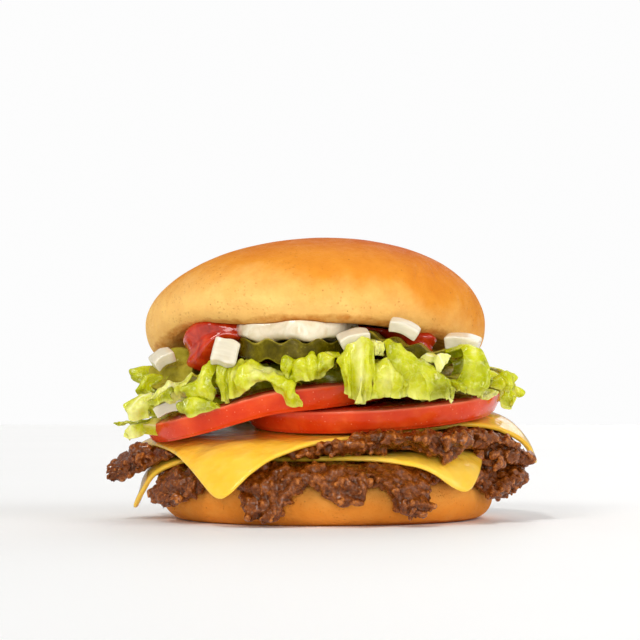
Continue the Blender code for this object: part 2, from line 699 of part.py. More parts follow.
def make_lettuce(looks):
    """The heap of torn lettuce: an uneven core with the leaves that show fused on."""
    rings = []
    heights = (LETTUCE_CORE_BOTTOM, (LETTUCE_CORE_BOTTOM + LETTUCE_CORE_TOP) / 2, LETTUCE_CORE_TOP)
    for share, height in zip((0.94, 1.0, 0.9), heights):
        ring = []
        for angle in ring_angles(24):
            way = Vector((math.cos(angle), math.sin(angle), 0.0))
            radius = share * LETTUCE_CORE_RADIUS * (1 + 0.06 * bump(way, 0.5, 4))
            ring.append((radius * way.x, radius * way.y, height))
        rings.append(ring)
    core = add_object("lettuce", ring_solid(rings, None, None), looks["lettuce"])
    fuse(core, [make_leaf(i, looks) for i in range(len(LEAVES))])
    return core


def main():
    clear_scene()
    looks = make_materials()
    heel = make_heel(looks)
    crown = make_crown(looks)
    lower_cheese = make_cheese("cheese_lower", LOWER_CHEESE_BED, LOWER_CHEESE_CORNERS, looks)
    upper_cheese = make_cheese("cheese_upper", UPPER_CHEESE_BED, UPPER_CHEESE_CORNERS, looks)
    lower_patty = make_patty(
        "patty_lower", LOWER_PATTY_BED, LOWER_PATTY_THICKNESS, LOWER_CHEESE_BED,
        LOWER_CHEESE_CORNERS, LOWER_PATTY_LOBES, LOWER_PATTY_SWELLS, 2, looks,
    )
    upper_patty = make_patty(
        "patty_upper", UPPER_PATTY_BED, UPPER_PATTY_THICKNESS, UPPER_CHEESE_BED,
        UPPER_CHEESE_CORNERS, UPPER_PATTY_LOBES, [], 7, looks,
    )
    right_tomato = make_tomato(
        "tomato_right", right_tomato_bed, RIGHT_TOMATO_CENTRE, RIGHT_TOMATO_RADIUS, 0.7, looks
    )
    left_tomato = make_tomato(
        "tomato_left", left_tomato_bed, LEFT_TOMATO_CENTRE, LEFT_TOMATO_RADIUS, 2.9, looks
    )
    pickles = [make_pickle(*row, looks) for row in PICKLES]
    onions = [make_onion(*row, looks) for row in ONIONS]
    ketchup = make_ketchup(looks)
    mayonnaise = make_mayonnaise(looks)
    lettuce = make_lettuce(looks)

    carve(upper_patty, [upper_cheese])
    carve(left_tomato, [upper_cheese])
    carve(right_tomato, [left_tomato])
    carve(mayonnaise, [*pickles, *onions])
    carve(ketchup, [mayonnaise, left_tomato, *pickles, *onions])
    carve(lettuce, [left_tomato, right_tomato, crown, ketchup, *pickles, *onions])
    thin_out(ketchup, 0.6)
    thin_out(mayonnaise, 0.7)
    join_flat_faces(lettuce, FLAT_ANGLE)


main()
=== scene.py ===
"""The looks of the double cheeseburger: every food as a finely shaped piece with its own material.

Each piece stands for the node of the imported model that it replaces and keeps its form.
Lengths are in metres and +Z is up. The front faces -Y, and directions round the burger
are in degrees: 0 is +X and -90 the front.
"""

import itertools
import math

import bmesh
import bpy
import numpy as np
from mathutils import Euler, Matrix, Vector, noise


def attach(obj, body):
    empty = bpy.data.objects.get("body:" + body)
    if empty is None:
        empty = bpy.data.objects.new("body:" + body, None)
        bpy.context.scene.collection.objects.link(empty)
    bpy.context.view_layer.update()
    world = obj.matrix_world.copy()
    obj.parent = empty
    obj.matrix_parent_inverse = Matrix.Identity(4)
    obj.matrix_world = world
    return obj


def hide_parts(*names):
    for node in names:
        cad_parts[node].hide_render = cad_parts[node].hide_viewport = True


MM = 0.001
GAP = 0.4 * MM

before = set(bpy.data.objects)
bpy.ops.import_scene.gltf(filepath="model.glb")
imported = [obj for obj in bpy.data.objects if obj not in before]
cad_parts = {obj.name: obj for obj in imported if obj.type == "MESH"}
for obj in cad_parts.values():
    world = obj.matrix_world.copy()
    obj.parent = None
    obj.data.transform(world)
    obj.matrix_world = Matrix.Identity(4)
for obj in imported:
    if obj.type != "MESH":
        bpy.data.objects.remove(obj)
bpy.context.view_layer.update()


# Noise and small helpers


def cell_value(cells, seed):
    """A repeatable number from 0 to 1 for each whole-numbered cell."""
    mixed = cells[..., 0] * 73856093 ^ cells[..., 1] * 19349663 ^ cells[..., 2] * 83492791
    mixed = mixed ^ (seed * 2654435761)
    mixed = (mixed ^ (mixed >> 13)) * 1274126177 & 0x7FFFFFFF
    mixed = (mixed ^ (mixed >> 15)) * 2246822519 & 0x7FFFFFFF
    return ((mixed >> 8) & 0xFFFF) / 0xFFFF


def smooth_noise(points, size, seed):
    """Smooth noise from about -1 to 1 at an array of points, with bumps of the given size."""
    scaled = np.asarray(points) / size + 37.0 + seed * 1.37
    cell = np.floor(scaled).astype(np.int64)
    part = scaled - cell
    blend = part * part * (3 - 2 * part)
    total = np.zeros(scaled.shape[:-1])
    for corner in itertools.product((0, 1), repeat=3):
        offset = np.array(corner)
        weight = np.prod(np.where(offset == 1, blend, 1 - blend), axis=-1)
        total += weight * cell_value(cell + offset, seed)
    return 2 * total - 1


def rough_noise(points, size, seed, octaves=3, falloff=0.5):
    """Several sizes of smooth noise added up, each half the size of the one before."""
    total = sum(
        falloff**step * smooth_noise(points, size / 2**step, seed + step) for step in range(octaves)
    )
    return total / sum(falloff**step for step in range(octaves))


def smooth_step(low, high, value):
    share = np.clip((value - low) / (high - low), 0.0, 1.0)
    return share * share * (3 - 2 * share)


def lobes_at(angle, lobes):
    """Sum of smooth swellings round a rim, each a (direction, half width, size) in degrees and metres."""
    total = np.zeros_like(angle)
    for direction, half_width, size in lobes:
        away = (np.degrees(angle) - direction + 180) % 360 - 180
        total += size * np.exp(-(np.abs(away / half_width) ** 2.6))
    return total


def soft_round(angle, seed, amount):
    """A round outline's gentle unevenness, as a factor near 1."""
    return 1 + amount * (np.sin(2 * angle + seed) + 0.7 * np.sin(3 * angle + 2.3 * seed))


def full_turn(count):
    return np.arange(count) * 2 * np.pi / count


# Making pieces


def mesh_piece(name, points, faces, look):
    mesh = bpy.data.meshes.new(name)
    mesh.from_pydata(points.tolist(), [], faces if isinstance(faces, list) else faces.tolist())
    mesh.materials.append(look)
    piece = bpy.data.objects.new(name, mesh)
    bpy.context.scene.collection.objects.link(piece)
    mesh.shade_smooth()
    return piece


def face_out(piece):
    """Turns every face of a closed piece to point outwards."""
    bm = bmesh.new()
    bm.from_mesh(piece.data)
    bmesh.ops.recalc_face_normals(bm, faces=bm.faces[:])
    bm.to_mesh(piece.data)
    bm.free()


def ring_faces(rows, count, cyclic=False):
    """Quads between rings of points; cyclic joins the last ring to the first."""
    row, column = np.meshgrid(np.arange(rows if cyclic else rows - 1), np.arange(count), indexing="ij")
    after, beside = (row + 1) % rows, (column + 1) % count
    quads = [row * count + column, row * count + beside, after * count + beside, after * count + column]
    return np.stack(quads, axis=-1).reshape(-1, 4)


def ring_piece(name, rings, look):
    """A closed piece from an array of rings (rows, points round, 3), its two ends closed by fans."""
    rows, count = rings.shape[:2]
    start, end = rings[0].mean(axis=0), rings[-1].mean(axis=0)
    points = np.concatenate([rings.reshape(-1, 3), [start, end]])
    faces = ring_faces(rows, count).tolist()
    for first, hub in ((0, rows * count), ((rows - 1) * count, rows * count + 1)):
        faces += [(first + i, first + (i + 1) % count, hub) for i in range(count)]
    piece = mesh_piece(name, points, faces, look)
    face_out(piece)
    return piece


def stand_for(piece, nodes):
    """Hands a finished piece to the frame in place of its CAD nodes."""
    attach(piece, "root")
    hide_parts(*nodes)
    return piece


def give_values(piece, name, values):
    """Stores one number for each point, for the material to read."""
    attribute = piece.data.attributes.new(name, "FLOAT", "POINT")
    attribute.data.foreach_set("value", np.asarray(values, np.float32))


def points_of(piece, kind="co"):
    """The piece's points as an array, or their normals."""
    values = np.empty(len(piece.data.vertices) * 3)
    piece.data.vertices.foreach_get(kind, values)
    return values.reshape(-1, 3)


def set_points(piece, points):
    piece.data.vertices.foreach_set("co", np.asarray(points).reshape(-1))
    piece.data.update()


def apply_modifiers(piece):
    bpy.context.view_layer.update()
    graph = bpy.context.evaluated_depsgraph_get()
    result = bpy.data.meshes.new_from_object(piece.evaluated_get(graph))
    piece.modifiers.clear()
    piece.data = result


# Materials


def screen_colour(red, green, blue):
    """A colour as a screen shows it, 0 to 255, as the shader's linear values."""
    values = []
    for part in (red, green, blue):
        share = part / 255
        values.append(share / 12.92 if share <= 0.04045 else ((share + 0.055) / 1.055) ** 2.4)
    return (*values, 1.0)


# Tints of the gloss, so that pale light doesn't grey the warm colours
WARM_TINT = (1.0, 0.78, 0.52, 1.0)
MEAT_TINT = (1.0, 0.62, 0.34, 1.0)


class Look:
    """A procedural material: its Principled shader and the nodes that feed it."""

    def __init__(self, name, **sockets):
        self.material = bpy.data.materials.new(name)
        self.material.use_nodes = True
        self.tree = self.material.node_tree
        self.shader = self.tree.nodes["Principled BSDF"]
        for socket, value in sockets.items():
            self.shader.inputs[socket.replace("_", " ")].default_value = value
        self.place = self.add("ShaderNodeTexCoord").outputs["Object"]

    def add(self, kind, **settings):
        node = self.tree.nodes.new(kind)
        for name, value in settings.items():
            setattr(node, name, value)
        return node

    def feed(self, socket, value):
        """Links an output to a socket, or sets it to a plain value; three numbers are a screen colour."""
        if isinstance(value, bpy.types.NodeSocket):
            self.tree.links.new(value, socket)
        elif isinstance(value, tuple) and len(value) == 3:
            socket.default_value = screen_colour(*value)
        else:
            socket.default_value = value

    def stretched(self, stretch):
        """The piece's own coordinates, scaled along X, Y and Z."""
        mapping = self.add("ShaderNodeMapping")
        self.feed(mapping.inputs["Vector"], self.place)
        mapping.inputs["Scale"].default_value = stretch
        return mapping.outputs["Vector"]

    def wobbled(self, size, amount):
        """The piece's own coordinates, shifted about by soft noise."""
        node = self.add("ShaderNodeTexNoise")
        self.feed(node.inputs["Vector"], self.place)
        node.inputs["Scale"].default_value = 1 / size
        shift = self.add("ShaderNodeVectorMath", operation="MULTIPLY_ADD")
        self.feed(shift.inputs[0], node.outputs["Color"])
        shift.inputs[1].default_value = (amount, amount, amount)
        self.feed(shift.inputs[2], self.place)
        return shift.outputs["Vector"]

    def noise(self, size, detail=4.0, roughness=0.55, where=None, distortion=0.0):
        """Noise from 0 to 1 with spots of about this size."""
        node = self.add("ShaderNodeTexNoise")
        self.feed(node.inputs["Vector"], where or self.place)
        node.inputs["Scale"].default_value = 1 / size
        node.inputs["Detail"].default_value = detail
        node.inputs["Roughness"].default_value = roughness
        node.inputs["Distortion"].default_value = distortion
        return node.outputs["Fac"]

    def cells(self, size, feature="F1", where=None):
        """Distance in a pattern of irregular cells of about this size."""
        node = self.add("ShaderNodeTexVoronoi", feature=feature)
        self.feed(node.inputs["Vector"], where or self.place)
        node.inputs["Scale"].default_value = 1 / size
        return node.outputs["Distance"]

    def spread(self, value, low, high, to_low=0.0, to_high=1.0):
        """Maps a range of a value to another range, and keeps it inside."""
        node = self.add("ShaderNodeMapRange")
        self.feed(node.inputs["Value"], value)
        bounds = {"From Min": low, "From Max": high, "To Min": to_low, "To Max": to_high}
        for name, bound in bounds.items():
            node.inputs[name].default_value = bound
        return node.outputs["Result"]

    def ramp(self, value, stops):
        """Colours along a value, each stop a (position, screen colour)."""
        node = self.add("ShaderNodeValToRGB")
        elements = node.color_ramp.elements
        while len(elements) < len(stops):
            elements.new(0.5)
        for element, (position, colour) in zip(elements, stops):
            element.position = position
            element.color = screen_colour(*colour)
        self.feed(node.inputs["Fac"], value)
        return node.outputs["Color"]

    def mix(self, share, first, second, blend="MIX", weight=None):
        """The first colour turning into the second; a weight scales the share."""
        if weight is not None:
            share = self.math("MULTIPLY", share, weight)
        node = self.add("ShaderNodeMix", data_type="RGBA", blend_type=blend)
        self.feed(node.inputs["Factor"], share)
        self.feed(node.inputs[6], first)
        self.feed(node.inputs[7], second)
        return node.outputs[2]

    def math(self, operation, *values):
        node = self.add("ShaderNodeMath", operation=operation)
        for socket, value in zip(node.inputs, values):
            self.feed(socket, value)
        return node.outputs[0]

    def value(self, name):
        """A number that the piece stores for each point."""
        return self.add("ShaderNodeAttribute", attribute_name=name).outputs["Fac"]

    def spots(self, size, inner, outer, where=None):
        """Round spots scattered about this far apart: 1 inside the inner share, 0 past the outer."""
        return self.spread(self.cells(size, where=where), inner, outer, 1.0, 0.0)

    def gloss(self, size, smooth, rough, detail=4.0, low=0.3, high=0.7):
        """Roughness that wanders between two values in patches of about this size."""
        self.set("Roughness", self.spread(self.noise(size, detail=detail), low, high, smooth, rough))

    def bump(self, height, distance, strength=1.0):
        """Fine relief from a height; several calls add up."""
        node = self.add("ShaderNodeBump")
        node.inputs["Strength"].default_value = strength
        node.inputs["Distance"].default_value = distance
        self.feed(node.inputs["Height"], height)
        link = self.shader.inputs["Normal"].links
        if link:
            self.feed(node.inputs["Normal"], link[0].from_socket)
        self.feed(self.shader.inputs["Normal"], node.outputs["Normal"])

    def set(self, socket, value):
        self.feed(self.shader.inputs[socket], value)

    def wet(self, weight, roughness):
        """A thin clear film of juice or fat."""
        self.shader.inputs["Coat Weight"].default_value = weight
        self.shader.inputs["Coat Roughness"].default_value = roughness

    def translucent(self, weight, radius, scale):
        """Lets light in a little way, by red, green and blue depths."""
        self.shader.inputs["Subsurface Weight"].default_value = weight
        self.shader.inputs["Subsurface Radius"].default_value = radius
        self.shader.inputs["Subsurface Scale"].default_value = scale


def crust_look(name, height_low, height_high, low_colour, middle_colour, top_colour, lip_colour):
    """Baked crust: paler low down, browner on top, toasted along the cut edge, finely pored."""
    look = Look(name, Roughness=0.6, Specular_IOR_Level=0.05, Specular_Tint=WARM_TINT)
    height = look.value("height")
    mottle = look.noise(16 * MM, detail=6.0, roughness=0.62)
    uneven = look.math("ADD", height, look.spread(mottle, 0.25, 0.75, -0.15, 0.15))
    colour = look.ramp(
        look.spread(uneven, height_low, height_high),
        [(0.0, low_colour), (0.45, middle_colour), (1.0, top_colour)],
    )
    blush = look.spread(look.noise(5 * MM), 0.35, 0.75)
    colour = look.mix(blush, colour, top_colour, weight=0.22)
    ragged = look.spread(look.noise(3.5 * MM), 0.25, 0.75, -0.25, 0.25)
    toasted = look.spread(look.math("ADD", look.value("lip"), ragged), 0.35, 0.95)
    colour = look.mix(toasted, colour, lip_colour)
    pores = look.spots(1.3 * MM, 0.1, 0.3, where=look.wobbled(3 * MM, 2 * MM))
    patches = look.spread(look.noise(13 * MM, detail=3.0), 0.42, 0.62)
    pitted = look.math("MULTIPLY", pores, patches)
    colour = look.mix(pitted, colour, (176, 96, 26), weight=0.3)
    specks = look.spots(4.5 * MM, 0.03, 0.08)
    colour = look.mix(specks, colour, (140, 70, 18), weight=0.5)
    look.set("Base Color", colour)
    look.gloss(4 * MM, 0.48, 0.68)
    look.bump(look.noise(0.9 * MM, roughness=0.65), 0.32 * MM, 0.9)
    look.bump(pitted, -0.2 * MM, 0.8)
    look.bump(look.noise(3.2 * MM, roughness=0.6), 0.45 * MM, 0.5)
    look.translucent(0.06, (1.0, 0.6, 0.25), 1.5 * MM)
    return look.material


def beef_look():
    """Browned griddled meat, wet with fat: painted shade darkens the crevices and painted light brightens
    the raised crumbs.
    """
    look = Look("beef", Specular_IOR_Level=0.45, Specular_Tint=MEAT_TINT)
    look.wet(0.35, 0.12)
    grain = look.noise(0.9 * MM, detail=5.0, roughness=0.75)
    relief = look.value("relief")
    level = look.math("ADD", relief, look.spread(grain, 0.3, 0.7, -0.42, 0.42))
    # Painted shade and light: near black deep in the crevices, pale brown on the raised crumbs
    colour = look.ramp(
        level,
        [(0.0, (40, 12, 0)), (0.3, (90, 36, 0)), (0.7, (132, 64, 8)), (1.0, (200, 120, 48))],
    )
    patches = look.spread(look.noise(11 * MM, detail=2.0), 0.35, 0.7)
    colour = look.mix(patches, colour, (150, 104, 70), "MULTIPLY", weight=0.45)
    look.set("Base Color", colour)
    look.gloss(1.8 * MM, 0.08, 0.34, detail=3.0, low=0.42, high=0.58)
    look.bump(grain, 0.34 * MM, 1.0)
    look.bump(look.noise(0.5 * MM, detail=2.0), 0.1 * MM, 0.8)
    return look.material


def cheese_look():
    """Melted cheese slice: smooth, slightly see-through, faintly clouded, with wet dents."""
    look = Look("cheese", Specular_IOR_Level=0.3, Specular_Tint=WARM_TINT)
    look.wet(0.4, 0.1)
    cloud = look.noise(22 * MM, detail=3.0)
    colour = look.ramp(cloud, [(0.3, (250, 186, 40)), (0.5, (252, 198, 62)), (0.7, (254, 208, 88))])
    fine = look.spread(look.noise(3 * MM, detail=3.0), 0.45, 0.75)
    colour = look.mix(fine, colour, (255, 220, 120), weight=0.2)
    look.set("Base Color", colour)
    look.gloss(7 * MM, 0.1, 0.24)
    look.bump(look.noise(6 * MM, detail=2.0), 1.2 * MM, 0.6)
    look.bump(look.noise(0.8 * MM, detail=2.0), 0.05 * MM, 0.4)
    look.translucent(0.35, (1.0, 0.55, 0.12), 2.5 * MM)
    return look.material


def tomato_look():
    """Tomato: glossy speckled skin round the wall, wet flesh with seed chambers on the cut faces."""
    look = Look("tomato", Specular_IOR_Level=0.15)
    look.wet(0.25, 0.12)
    skin = look.ramp(
        look.noise(9 * MM),
        [(0.3, (212, 54, 12)), (0.55, (224, 70, 20)), (0.8, (236, 98, 36))],
    )
    pale_specks = look.spots(1.7 * MM, 0.04, 0.13)
    skin = look.mix(pale_specks, skin, (255, 176, 130), weight=0.6)
    edge = look.value("edge")
    flesh = look.ramp(look.noise(3 * MM, detail=5.0), [(0.3, (150, 26, 6)), (0.7, (196, 54, 20))])
    wet = look.value("gel")
    flesh = look.mix(wet, flesh, (150, 44, 8), weight=0.75)
    seeds = look.math("MULTIPLY", look.spots(3.4 * MM, 0.16, 0.24), wet)
    flesh = look.mix(seeds, flesh, (232, 196, 120))
    colour = look.mix(look.value("cut"), skin, flesh)
    # Painted highlight: a pale line along the ridge between the skin and the cut face
    colour = look.mix(edge, colour, (246, 128, 92), weight=0.75)
    look.set("Base Color", colour)
    look.gloss(2 * MM, 0.12, 0.3)
    look.bump(look.noise(1.1 * MM), 0.16 * MM, 0.5)
    look.translucent(0.2, (1.0, 0.2, 0.08), 3.0 * MM)
    return look.material


def lettuce_look():
    """Lettuce: yellow-green and thin, with a net of pale veins and near-white ribs."""
    look = Look("lettuce", Specular_IOR_Level=0.26)
    look.wet(0.25, 0.16)
    pale = look.spread(look.value("pale"), 0.0, 1.0, -0.28, 0.42)
    tone = look.math("ADD", look.noise(6 * MM), pale)
    colour = look.ramp(
        tone,
        [(0.15, (132, 134, 0)), (0.42, (178, 182, 0)), (0.64, (200, 202, 20)), (0.95, (226, 226, 128))],
    )
    net = look.cells(2.6 * MM, "DISTANCE_TO_EDGE", where=look.wobbled(2 * MM, 3 * MM))
    veins = look.spread(net, 0.0, 0.09, 1.0, 0.0)
    colour = look.mix(veins, colour, (226, 228, 130), weight=0.2)
    # Painted highlight: a pale band along each leaf's torn edge
    colour = look.mix(look.value("rim"), colour, (226, 230, 120), weight=0.45)
    colour = look.mix(look.value("rib"), colour, (238, 238, 196))
    look.set("Base Color", colour)
    look.gloss(3 * MM, 0.12, 0.34, detail=3.0)
    look.bump(look.spread(net, 0.0, 0.3), 0.2 * MM, 0.35)
    look.bump(look.noise(0.9 * MM, detail=3.0), 0.06 * MM, 0.5)
    look.translucent(0.35, (0.7, 1.0, 0.12), 1.6 * MM)
    return look.material


def pickle_look():
    """Pickle: dark olive skin, paler wet faces with a faint ring of seeds."""
    look = Look("pickle", Roughness=0.25, Specular_IOR_Level=0.22, Specular_Tint=WARM_TINT)
    skin = look.ramp(
        look.noise(4 * MM, detail=5.0, roughness=0.65),
        [(0.3, (54, 48, 0)), (0.55, (84, 74, 0)), (0.8, (130, 118, 16))],
    )
    specks = look.spots(1.5 * MM, 0.05, 0.16)
    skin = look.mix(specks, skin, (186, 176, 70), weight=0.4)
    face = look.ramp(look.noise(3 * MM), [(0.3, (122, 110, 16)), (0.7, (172, 158, 52))])
    seeds = look.spots(2.6 * MM, 0.12, 0.22)
    face = look.mix(look.math("MULTIPLY", seeds, look.value("gel")), face, (222, 212, 150), weight=0.7)
    look.set("Base Color", look.mix(look.value("cut"), skin, face))
    look.gloss(2 * MM, 0.18, 0.4, detail=3.0)
    look.bump(look.noise(1.2 * MM), 0.2 * MM, 0.6)
    look.translucent(0.1, (0.8, 0.8, 0.15), 1.5 * MM)
    return look.material


def onion_look():
    """Raw onion: wet and see-through, with faint lines along its layers."""
    look = Look("onion", Roughness=0.2, Specular_IOR_Level=0.5)
    lines = look.noise(1.2 * MM, detail=3.0, where=look.stretched((0.12, 1.0, 1.0)))
    colour = look.ramp(lines, [(0.3, (208, 199, 176)), (0.5, (214, 206, 184)), (0.75, (222, 215, 196))])
    cloud = look.spread(look.noise(5 * MM), 0.4, 0.7)
    colour = look.mix(cloud, colour, (226, 214, 184), weight=0.3)
    look.set("Base Color", colour)
    look.gloss(3 * MM, 0.14, 0.3)
    look.bump(lines, 0.02 * MM, 0.3)
    look.translucent(0.6, (1.0, 0.92, 0.75), 3.0 * MM)
    return look.material


def sauce_look(name, deep, middle, light, gloss):
    """A thick glossy sauce with soft streaks."""
    look = Look(name, Specular_IOR_Level=0.35)
    look.wet(0.5, 0.6 * gloss)
    streak = look.noise(6 * MM, distortion=1.2)
    look.set("Base Color", look.ramp(streak, [(0.3, deep), (0.55, middle), (0.8, light)]))
    look.gloss(2.5 * MM, 0.6 * gloss, 1.4 * gloss)
    look.bump(look.noise(2.2 * MM, detail=3.0, distortion=0.8), 0.3 * MM, 0.5)
    look.bump(look.noise(0.5 * MM, detail=2.0), 0.05 * MM, 0.4)
    look.translucent(0.25, (1.0, 0.6, 0.5), 1.6 * MM)
    return look.material


# Buns

HEEL_RADIUS = 53.3 * MM
HEEL_FOOT_RADIUS = 45.0 * MM
HEEL_HEIGHT = 13.6 * MM
HEEL_SHOULDER = 6.3 * MM
CROWN_RADIUS = 55.0 * MM
CROWN_DOME = 27.5 * MM
CROWN_BELT = 10.0 * MM
CROWN_LIP_RADIUS = 48.5 * MM
CROWN_HOLLOW = 8.0 * MM
CROWN_ARCH = 2.2 * MM
CROWN_LEAN = 0.085
# How far the crust's colour is pushed browner to the right and paler to the left: painted shade on the
# right side and painted light on the left
CROWN_BROWNING = 0.24
CROWN_MATRIX = Matrix.Translation((-4.0 * MM, 0.0, 51.5 * MM)) @ Euler(
    (math.radians(-9.0), 0.0, 0.0)
).to_matrix().to_4x4()
CROWN_LIP_LIFTS = [(-140, 20, 3.2 * MM)]
BUN_COLUMNS = 400


def turned(radius, angle, height):
    """Points of rings from radii, directions and heights that broadcast together."""
    radius, angle, height = np.broadcast_arrays(radius, angle, height)
    return np.stack([radius * np.cos(angle), radius * np.sin(angle), height], axis=-1)


def placed(points, matrix):
    turn = np.array(matrix.to_3x3())
    return points @ turn.T + np.array(matrix.translation)


def push_out(rings, angle, amount):
    """Moves points outwards from the Z axis, in place."""
    rings[..., 0] += amount * np.cos(angle)
    rings[..., 1] += amount * np.sin(angle)


def bun_relief(points, seed):
    """The soft unevenness of a baked crust."""
    swell = 0.45 * MM * smooth_noise(points, 24 * MM, seed)
    return swell + 0.12 * MM * rough_noise(points, 7 * MM, seed + 5)


def make_heel(looks):
    """The bottom bun: a flat base, a round belly and a cut top."""
    angle = full_turn(BUN_COLUMNS)[None, :]
    belly = HEEL_HEIGHT - HEEL_SHOULDER
    flat_top = HEEL_RADIUS - HEEL_SHOULDER
    radii = list(np.linspace(4 * MM, HEEL_FOOT_RADIUS, 12))
    heights = [0.0] * 12
    for turn in np.linspace(0.06, np.pi / 2, 30):
        radii.append(HEEL_FOOT_RADIUS + (HEEL_RADIUS - HEEL_FOOT_RADIUS) * math.sin(turn) ** 0.85)
        heights.append(belly * (1 - math.cos(turn)))
    for turn in np.linspace(0.06, np.pi / 2, 26):
        radii.append(flat_top + HEEL_SHOULDER * math.cos(turn))
        heights.append(belly + HEEL_SHOULDER * math.sin(turn))
    for radius in np.linspace(flat_top, 4 * MM, 14)[1:]:
        radii.append(radius)
        heights.append(HEEL_HEIGHT)
    radius = np.array(radii)[:, None] * soft_round(angle, 0.4, 0.004)
    height = np.array(heights)[:, None]
    rings = turned(radius, angle, height)
    side = smooth_step(0.2 * MM, 2 * MM, height) * smooth_step(flat_top - 6 * MM, flat_top, radius)
    rings[..., :2] *= 1 + (bun_relief(rings, 3) * side / HEEL_RADIUS)[..., None]
    piece = ring_piece("heel_bun", rings, looks["heel"])
    flat = points_of(piece)
    reach = np.hypot(flat[:, 0], flat[:, 1])
    give_values(piece, "height", np.clip(flat[:, 2] / HEEL_HEIGHT, 0, 1))
    low = smooth_step(2.2 * MM, 0.0, flat[:, 2]) * smooth_step(-20 * MM, 30 * MM, flat[:, 0])
    cut = smooth_step(flat_top - 1 * MM, flat_top - 3 * MM, reach)
    cut *= smooth_step(10 * MM, 13 * MM, flat[:, 2])
    give_values(piece, "lip", np.maximum(low, 0.25 * cut))
    return stand_for(piece, ["heel"])


def crown_underside(x, y):
    """Height of the crown's cut face, pressed up in the middle and at the front by the filling."""
    out = np.hypot(x, y) / CROWN_LIP_RADIUS
    middle = CROWN_HOLLOW * np.maximum(0.0, 1 - out**2)
    front = CROWN_ARCH * np.maximum(0.0, -y / CROWN_LIP_RADIUS) ** 1.5
    return middle + front + lobes_at(np.arctan2(y, x), CROWN_LIP_LIFTS) * out**3


# Each crease of the crown's crust: direction, height, length and width in mm, slant and depth in mm
CREASES = [
    (-52, 19.0, 9.0, 0.8, 62, 0.45),
    (-47, 14.0, 6.0, 0.6, 40, 0.32),
    (-43, 21.0, 7.0, 0.7, 75, 0.28),
    (-118, 15.0, 8.0, 0.7, 85, 0.14),
    (-146, 17.0, 9.0, 0.8, 70, 0.18),
    (-150, 9.0, 7.0, 0.7, 60, 0.14),
    (60, 16.0, 10.0, 0.8, 60, 0.25),
    (150, 18.0, 9.0, 0.8, 80, 0.22),
]


def crease_depth(angle, height):
    """How deep the creases run at a direction and a height on the crown."""
    total = np.zeros(np.broadcast(angle, height).shape)
    for direction, level, length, width, slant, depth in CREASES:
        away = ((np.degrees(angle) - direction + 180) % 360 - 180) * math.radians(1) * CROWN_RADIUS
        up = height - level * MM
        lean = math.radians(slant)
        along = away * math.cos(lean) + up * math.sin(lean)
        across = up * math.cos(lean) - away * math.sin(lean) + 0.6 * MM * np.sin(along / (2 * MM))
        fade = np.exp(-((along / (length * MM / 2)) ** 4))
        total += depth * MM * fade * np.exp(-((across / (width * MM)) ** 2))
    return total


def make_crown(looks):
    """The top bun: an oval dome on a round lip, with its cut face pressed up a little."""
    angle = full_turn(BUN_COLUMNS)[None, :]
    side = CROWN_RADIUS - CROWN_LIP_RADIUS
    radii, heights, under = [], [], []
    for radius in np.linspace(3 * MM, CROWN_LIP_RADIUS, 26):
        radii.append(radius)
        heights.append(0.0)
        under.append(1.0)
    for turn in np.linspace(0.05, np.pi / 2, 30):
        radii.append(CROWN_LIP_RADIUS + side * math.sin(turn))
        heights.append(CROWN_BELT * (1 - math.cos(turn)))
        under.append(0.0)
    for turn in np.linspace(0.02, np.pi / 2 - 0.04, 76):
        radii.append(CROWN_RADIUS * math.cos(turn))
        heights.append(CROWN_BELT + CROWN_DOME * math.sin(turn))
        under.append(0.0)
    radius = np.array(radii)[:, None] * soft_round(angle, 1.1, 0.006)
    height = np.array(heights)[:, None] * np.ones_like(angle)
    under = np.array(under)[:, None] * np.ones_like(angle)
    x, y = radius * np.cos(angle), radius * np.sin(angle)
    above = np.maximum(0.0, height - CROWN_BELT) * (1 + CROWN_LEAN * x / CROWN_RADIUS)
    low = np.minimum(height, CROWN_BELT)
    arch = CROWN_ARCH * np.maximum(0.0, -np.sin(angle)) ** 1.5 + lobes_at(angle, CROWN_LIP_LIFTS)
    outside = low + arch * (1 - low / CROWN_BELT) + above
    rings = turned(radius, angle, np.where(under > 0.5, crown_underside(x, y), outside))
    middle = np.array([0.0, 0.0, CROWN_BELT])
    way = rings - middle
    way /= np.linalg.norm(way, axis=-1, keepdims=True)
    relief = bun_relief(rings, 11) - crease_depth(angle, height) - 0.3 * MM
    rings += way * (relief * np.where(under > 0.5, 0.5, 1.0))[..., None]
    lip_share = smooth_step(3.4 * MM, 0.6 * MM, height - 0.8 * MM * smooth_noise(rings, 9 * MM, 4))
    # Colour share: browner with height, as the crust really is, and browner towards +X as painted shade on
    # the right side, paler on the left as painted light
    top_share = np.clip(height / (CROWN_BELT + CROWN_DOME) + CROWN_BROWNING * x / CROWN_RADIUS, 0, 1)
    piece = ring_piece("crown_bun", placed(rings, CROWN_MATRIX), looks["crown"])
    give_values(piece, "height", np.append(top_share.reshape(-1), [0.0, 1.0]))
    give_values(piece, "lip", np.append(np.maximum(0.7 * lip_share, 0.3 * under).reshape(-1), [0.3, 0.0]))
    return stand_for(piece, ["crown"])


# Layers that lie on the heel and bend down over its rim

RIM_RADIUS = 47.0 * MM
LOWER_PATTY_THICKNESS = 6.4 * MM
UPPER_PATTY_THICKNESS = 5.9 * MM
CHEESE_THICKNESS = 2.1 * MM
PATTY_BEND_SHARE = 0.5
PATTY_SLACK = 0.7 * MM
PATTY_BROW = 1.8 * MM
PATTY_REACH = 51.8 * MM
CHEESE_SQUARENESS = 16
CHEESE_COLUMNS = 420
CHEESE_RIPPLES = (0.7 * MM, 0.35 * MM)


